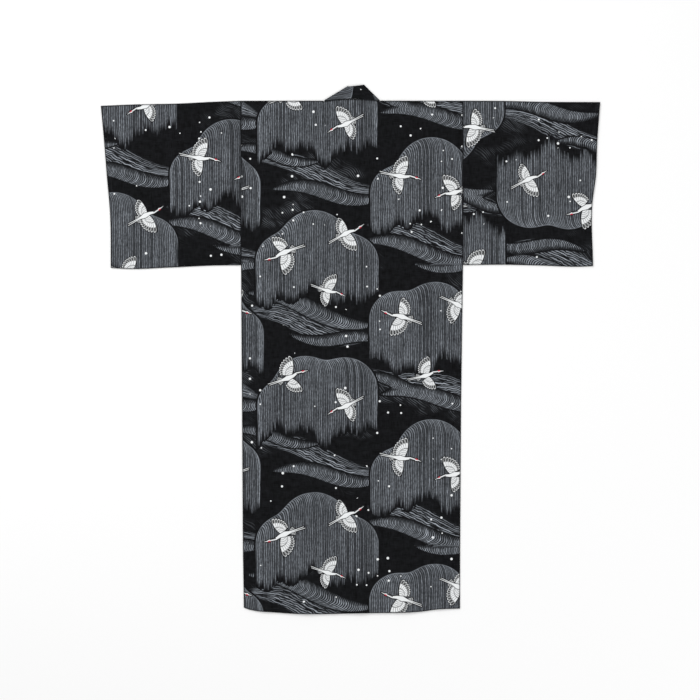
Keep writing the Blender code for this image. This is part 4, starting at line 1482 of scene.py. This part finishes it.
def printed_cotton(name, cloth, pattern):
    """Black cotton printed in grey and white: hills in mist, streams, flying cranes and drops.

    The hills, streams and cranes are read from the cloth's own attributes, and their lines and
    edges are drawn from those here, so they stay sharp at any distance.
    """
    g = Graph(name)
    u, v = g.place()
    lines = landscape(g, u, v, pattern)
    fade = g.fit(g.noise(u, v, 9.0, 3.0), 0.50, 0.75)
    gap, white, crown = crane(g)
    clear = g.negated(gap)
    to_sewn, to_edge, along = g.field("edges")
    # Painted shade: the print is darkened to a fifth within a few millimetres of every edge and fold, as if
    # the rolled edges were in shadow.
    shadow = g.fit(g.step(to_edge, *EDGE_SHADOW), 0.80, 0.20)
    off_line, line_strength = g.field("pressed")[:2]
    to_line = g.bare(off_line)
    paler = g.times(g.fading(to_line, PALER_REACH), line_strength)
    lines = g.times(lines, g.fit(paler, PALER_INK, 1.0))
    # The grey lines and the white both take the painted edge shade.
    grey = g.times(g.times(g.times(lines, fade), clear), shadow)
    bright = g.times(g.either(white, g.times(dots(g, u, v), clear)), shadow)

    threads = g.times(g.wave(u, pattern.weave_pitch), g.wave(v, pattern.weave_pitch))
    slub = g.less(g.noise(g.times(u, 900.0), g.times(v, 36.0), 1.0, 2.0), 0.5)
    slub = g.add(slub, g.less(g.noise(g.times(u, 36.0), g.times(v, 900.0), 1.0, 2.0), 0.5))
    # Tone of the cotton's slubs and threads.
    tone_and_sheen = g.add(g.fit(slub, 0.26, 1.0), g.times(threads, 0.12))
    faded = g.fit(slub, 1.6, g.fit(paler, PALER_GROUND, 0.5))
    faded = g.fit(g.less(g.noise(u, v, 70.0, 4.0), 0.5), 1.2, faded)
    ground = g.mix(faded, tinted(cloth.ground, GROUND_DARKEST), tinted(cloth.ground, GROUND_PALEST))
    colour = g.mix(g.times(grey, tone_and_sheen), ground, tinted(cloth.line_ink))
    colour = g.mix(g.times(bright, tone_and_sheen), colour, tinted(cloth.ink))
    colour = g.mix(g.times(crown, 0.95), colour, tinted(cloth.accent))
    g.put(g.shader, "Base Color", colour)

    weave = g.fit(threads, 0.8, g.times(slub, 1.2))
    crumple = g.add(g.times(g.noise(u, v, 24.0, 4.0), 11.0), g.times(g.noise(u, v, 95.0, 3.0), 2.6))
    wander = g.times(g.noise(g.times(along, 31.0), 0.0, 1.0, 2.0), 14.0)
    pucker = g.math("SINE", g.add(g.times(along, 2 * math.pi / PUCKER_PITCH), wander))
    pucker = g.times(pucker, g.fading(to_sewn, PUCKER_REACH))
    ridge = g.fading(to_line, RIDGE_REACH)
    ridge = g.times(g.times(ridge, line_strength), g.fit(g.noise(u, v, 30.0), 2.0, 0.4))
    sewn_in = g.fit(ridge, 3.2, g.times(pucker, 1.1))
    g.relief(g.add(g.add(weave, crumple), sewn_in), RELIEF_STRENGTH, RELIEF_DEPTH)
    rough = g.fit(g.either(grey, bright), -0.07, 0.95)
    g.put(g.shader, "Roughness", g.fit(slub, 0.05, rough))
    g.shader.inputs["Specular IOR Level"].default_value = 0.10
    g.shader.inputs["Sheen Weight"].default_value = 0.03
    g.shader.inputs["Sheen Roughness"].default_value = 0.5
    return g.material


def tinted(colour, strength=1.0):
    """A colour made lighter or darker, with its opacity."""
    return (*(part * strength for part in colour), 1.0)


def finish_cloth(piece, node, context):
    """Give a piece its material, attach it to the root body, and hide the part that it stands for."""
    piece.data.materials.append(cotton(context))
    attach(piece, "root")
    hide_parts(node)


def cotton(context):
    """The printed cotton, made once."""
    scene = context.scene
    known = bpy.data.materials.get("printed_cotton_cloth")
    return known or printed_cotton("printed_cotton_cloth", scene.yukata_cloth, scene.yukata_print)


class YUKATA_OT_body(Operator):
    """Make the back and both fronts, in one cloth"""

    bl_idname = "yukata.body"
    bl_label = "Body"

    def execute(self, context):
        piece = make_body(context.scene.yukata_cloth)
        finish_cloth(piece, "body", context)
        return {"FINISHED"}


class YUKATA_OT_sleeves(Operator):
    """Make both sleeves"""

    bl_idname = "yukata.sleeves"
    bl_label = "Sleeves"

    def execute(self, context):
        for sleeve in SLEEVES:
            piece = make_sleeve(sleeve, context.scene.yukata_cloth)
            finish_cloth(piece, sleeve.name, context)
        return {"FINISHED"}


class YUKATA_OT_overlap_panels(Operator):
    """Make the overlap panel of each front"""

    bl_idname = "yukata.overlap_panels"
    bl_label = "Overlap panels"

    def execute(self, context):
        for name, side in (("okumi_left", -1), ("okumi_right", 1)):
            piece = make_okumi(name, side, context.scene.yukata_cloth)
            finish_cloth(piece, name, context)
        return {"FINISHED"}


class YUKATA_OT_collar(Operator):
    """Make the folded band of the collar"""

    bl_idname = "yukata.collar"
    bl_label = "Collar"

    def execute(self, context):
        piece = make_collar(context.scene.yukata_cloth)
        finish_cloth(piece, "collar", context)
        return {"FINISHED"}


class YUKATA_OT_stitches(Operator):
    """Sew the machine stitching of the hems and cuffs"""

    bl_idname = "yukata.stitches"
    bl_label = "Stitches"

    def execute(self, context):
        clothes = [piece for piece in bpy.data.objects if piece.name.endswith("_cloth")]
        stitches = context.scene.yukata_stitches
        piece = make_stitches(clothes, stitches)
        piece.data.materials.append(sewing_thread(stitches.colour))
        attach(piece, "root")
        return {"FINISHED"}


class YUKATA_OT_stage(Operator):
    """Make the floor, the lights and the camera"""

    bl_idname = "yukata.stage"
    bl_label = "Stage"

    def execute(self, context):
        stage = context.scene.yukata_stage
        bpy.ops.mesh.primitive_plane_add(size=24.0, location=(0.0, 0.0, -0.0004))
        floor = context.active_object
        floor.name = "floor"
        paper = Graph("floor_paper")
        paper.shader.inputs["Base Color"].default_value = (*stage.floor, 1.0)
        paper.shader.inputs["Roughness"].default_value = 0.95
        paper.shader.inputs["Specular IOR Level"].default_value = 0.1
        floor.data.materials.append(paper.material)

        world = bpy.data.worlds.new("studio")
        world.use_nodes = True
        world.node_tree.nodes["Background"].inputs["Color"].default_value = (1.0, 1.0, 1.0, 1.0)
        world.node_tree.nodes["Background"].inputs["Strength"].default_value = 0.62
        context.scene.world = world
        add_light("key", (-2.4, 2.6, 3.4), 3.0, 120.0)
        add_light("fill", (2.8, -1.8, 3.6), 3.5, 62.0)

        lens = bpy.data.cameras.new("camera")
        lens.sensor_width = 36.0
        lens.lens = lens.sensor_width * stage.camera_height / stage.frame_width
        lens.clip_end = 50.0
        camera = bpy.data.objects.new("camera", lens)
        camera.location = (*stage.centre, stage.camera_height)
        context.scene.collection.objects.link(camera)
        context.scene.camera = camera
        context.scene.view_settings.view_transform = "Standard"
        return {"FINISHED"}


def add_light(name, place, size, power):
    """A square soft light that points at the middle of the robe."""
    light = bpy.data.lights.new(name, "AREA")
    light.size = size
    light.energy = power
    lamp = bpy.data.objects.new(name, light)
    x, y, z = place
    across = math.hypot(x, y)
    lamp.location = place
    lamp.rotation_euler = (math.atan2(across, z), 0.0, math.atan2(x, -y))
    bpy.context.scene.collection.objects.link(lamp)


class YUKATA_PT_panel(Panel):
    """The robe's pieces and sizes"""

    bl_idname = "YUKATA_PT_panel"
    bl_label = "Yukata"
    bl_space_type = "VIEW_3D"
    bl_region_type = "UI"
    bl_category = "Yukata"

    def draw(self, context):
        layout = self.layout
        for key, kind in GROUPS.items():
            box = layout.box()
            for name in kind.__annotations__:
                box.prop(getattr(context.scene, key), name)
        for operator in OPERATORS:
            layout.operator(operator.bl_idname)


OPERATORS = (
    YUKATA_OT_body,
    YUKATA_OT_sleeves,
    YUKATA_OT_overlap_panels,
    YUKATA_OT_collar,
    YUKATA_OT_stitches,
    YUKATA_OT_stage,
)
GROUPS = {
    "yukata_cloth": YukataCloth,
    "yukata_stitches": YukataStitches,
    "yukata_print": YukataPrint,
    "yukata_stage": YukataStage,
}


def register():
    """Register the properties, the operators and the panel."""
    for group in GROUPS.values():
        bpy.utils.register_class(group)
    for operator in OPERATORS:
        bpy.utils.register_class(operator)
    bpy.utils.register_class(YUKATA_PT_panel)
    for name, group in GROUPS.items():
        setattr(bpy.types.Scene, name, PointerProperty(type=group))


def unregister():
    """Take them away again."""
    for name in GROUPS:
        delattr(bpy.types.Scene, name)
    bpy.utils.unregister_class(YUKATA_PT_panel)
    for operator in reversed(OPERATORS):
        bpy.utils.unregister_class(operator)
    for group in reversed(list(GROUPS.values())):
        bpy.utils.unregister_class(group)


def main():
    """Make the robe and the stage."""
    register()
    bpy.ops.yukata.body()
    bpy.ops.yukata.sleeves()
    bpy.ops.yukata.overlap_panels()
    bpy.ops.yukata.collar()
    bpy.ops.yukata.stitches()
    bpy.ops.yukata.stage()


if __name__ == "__main__":
    main()
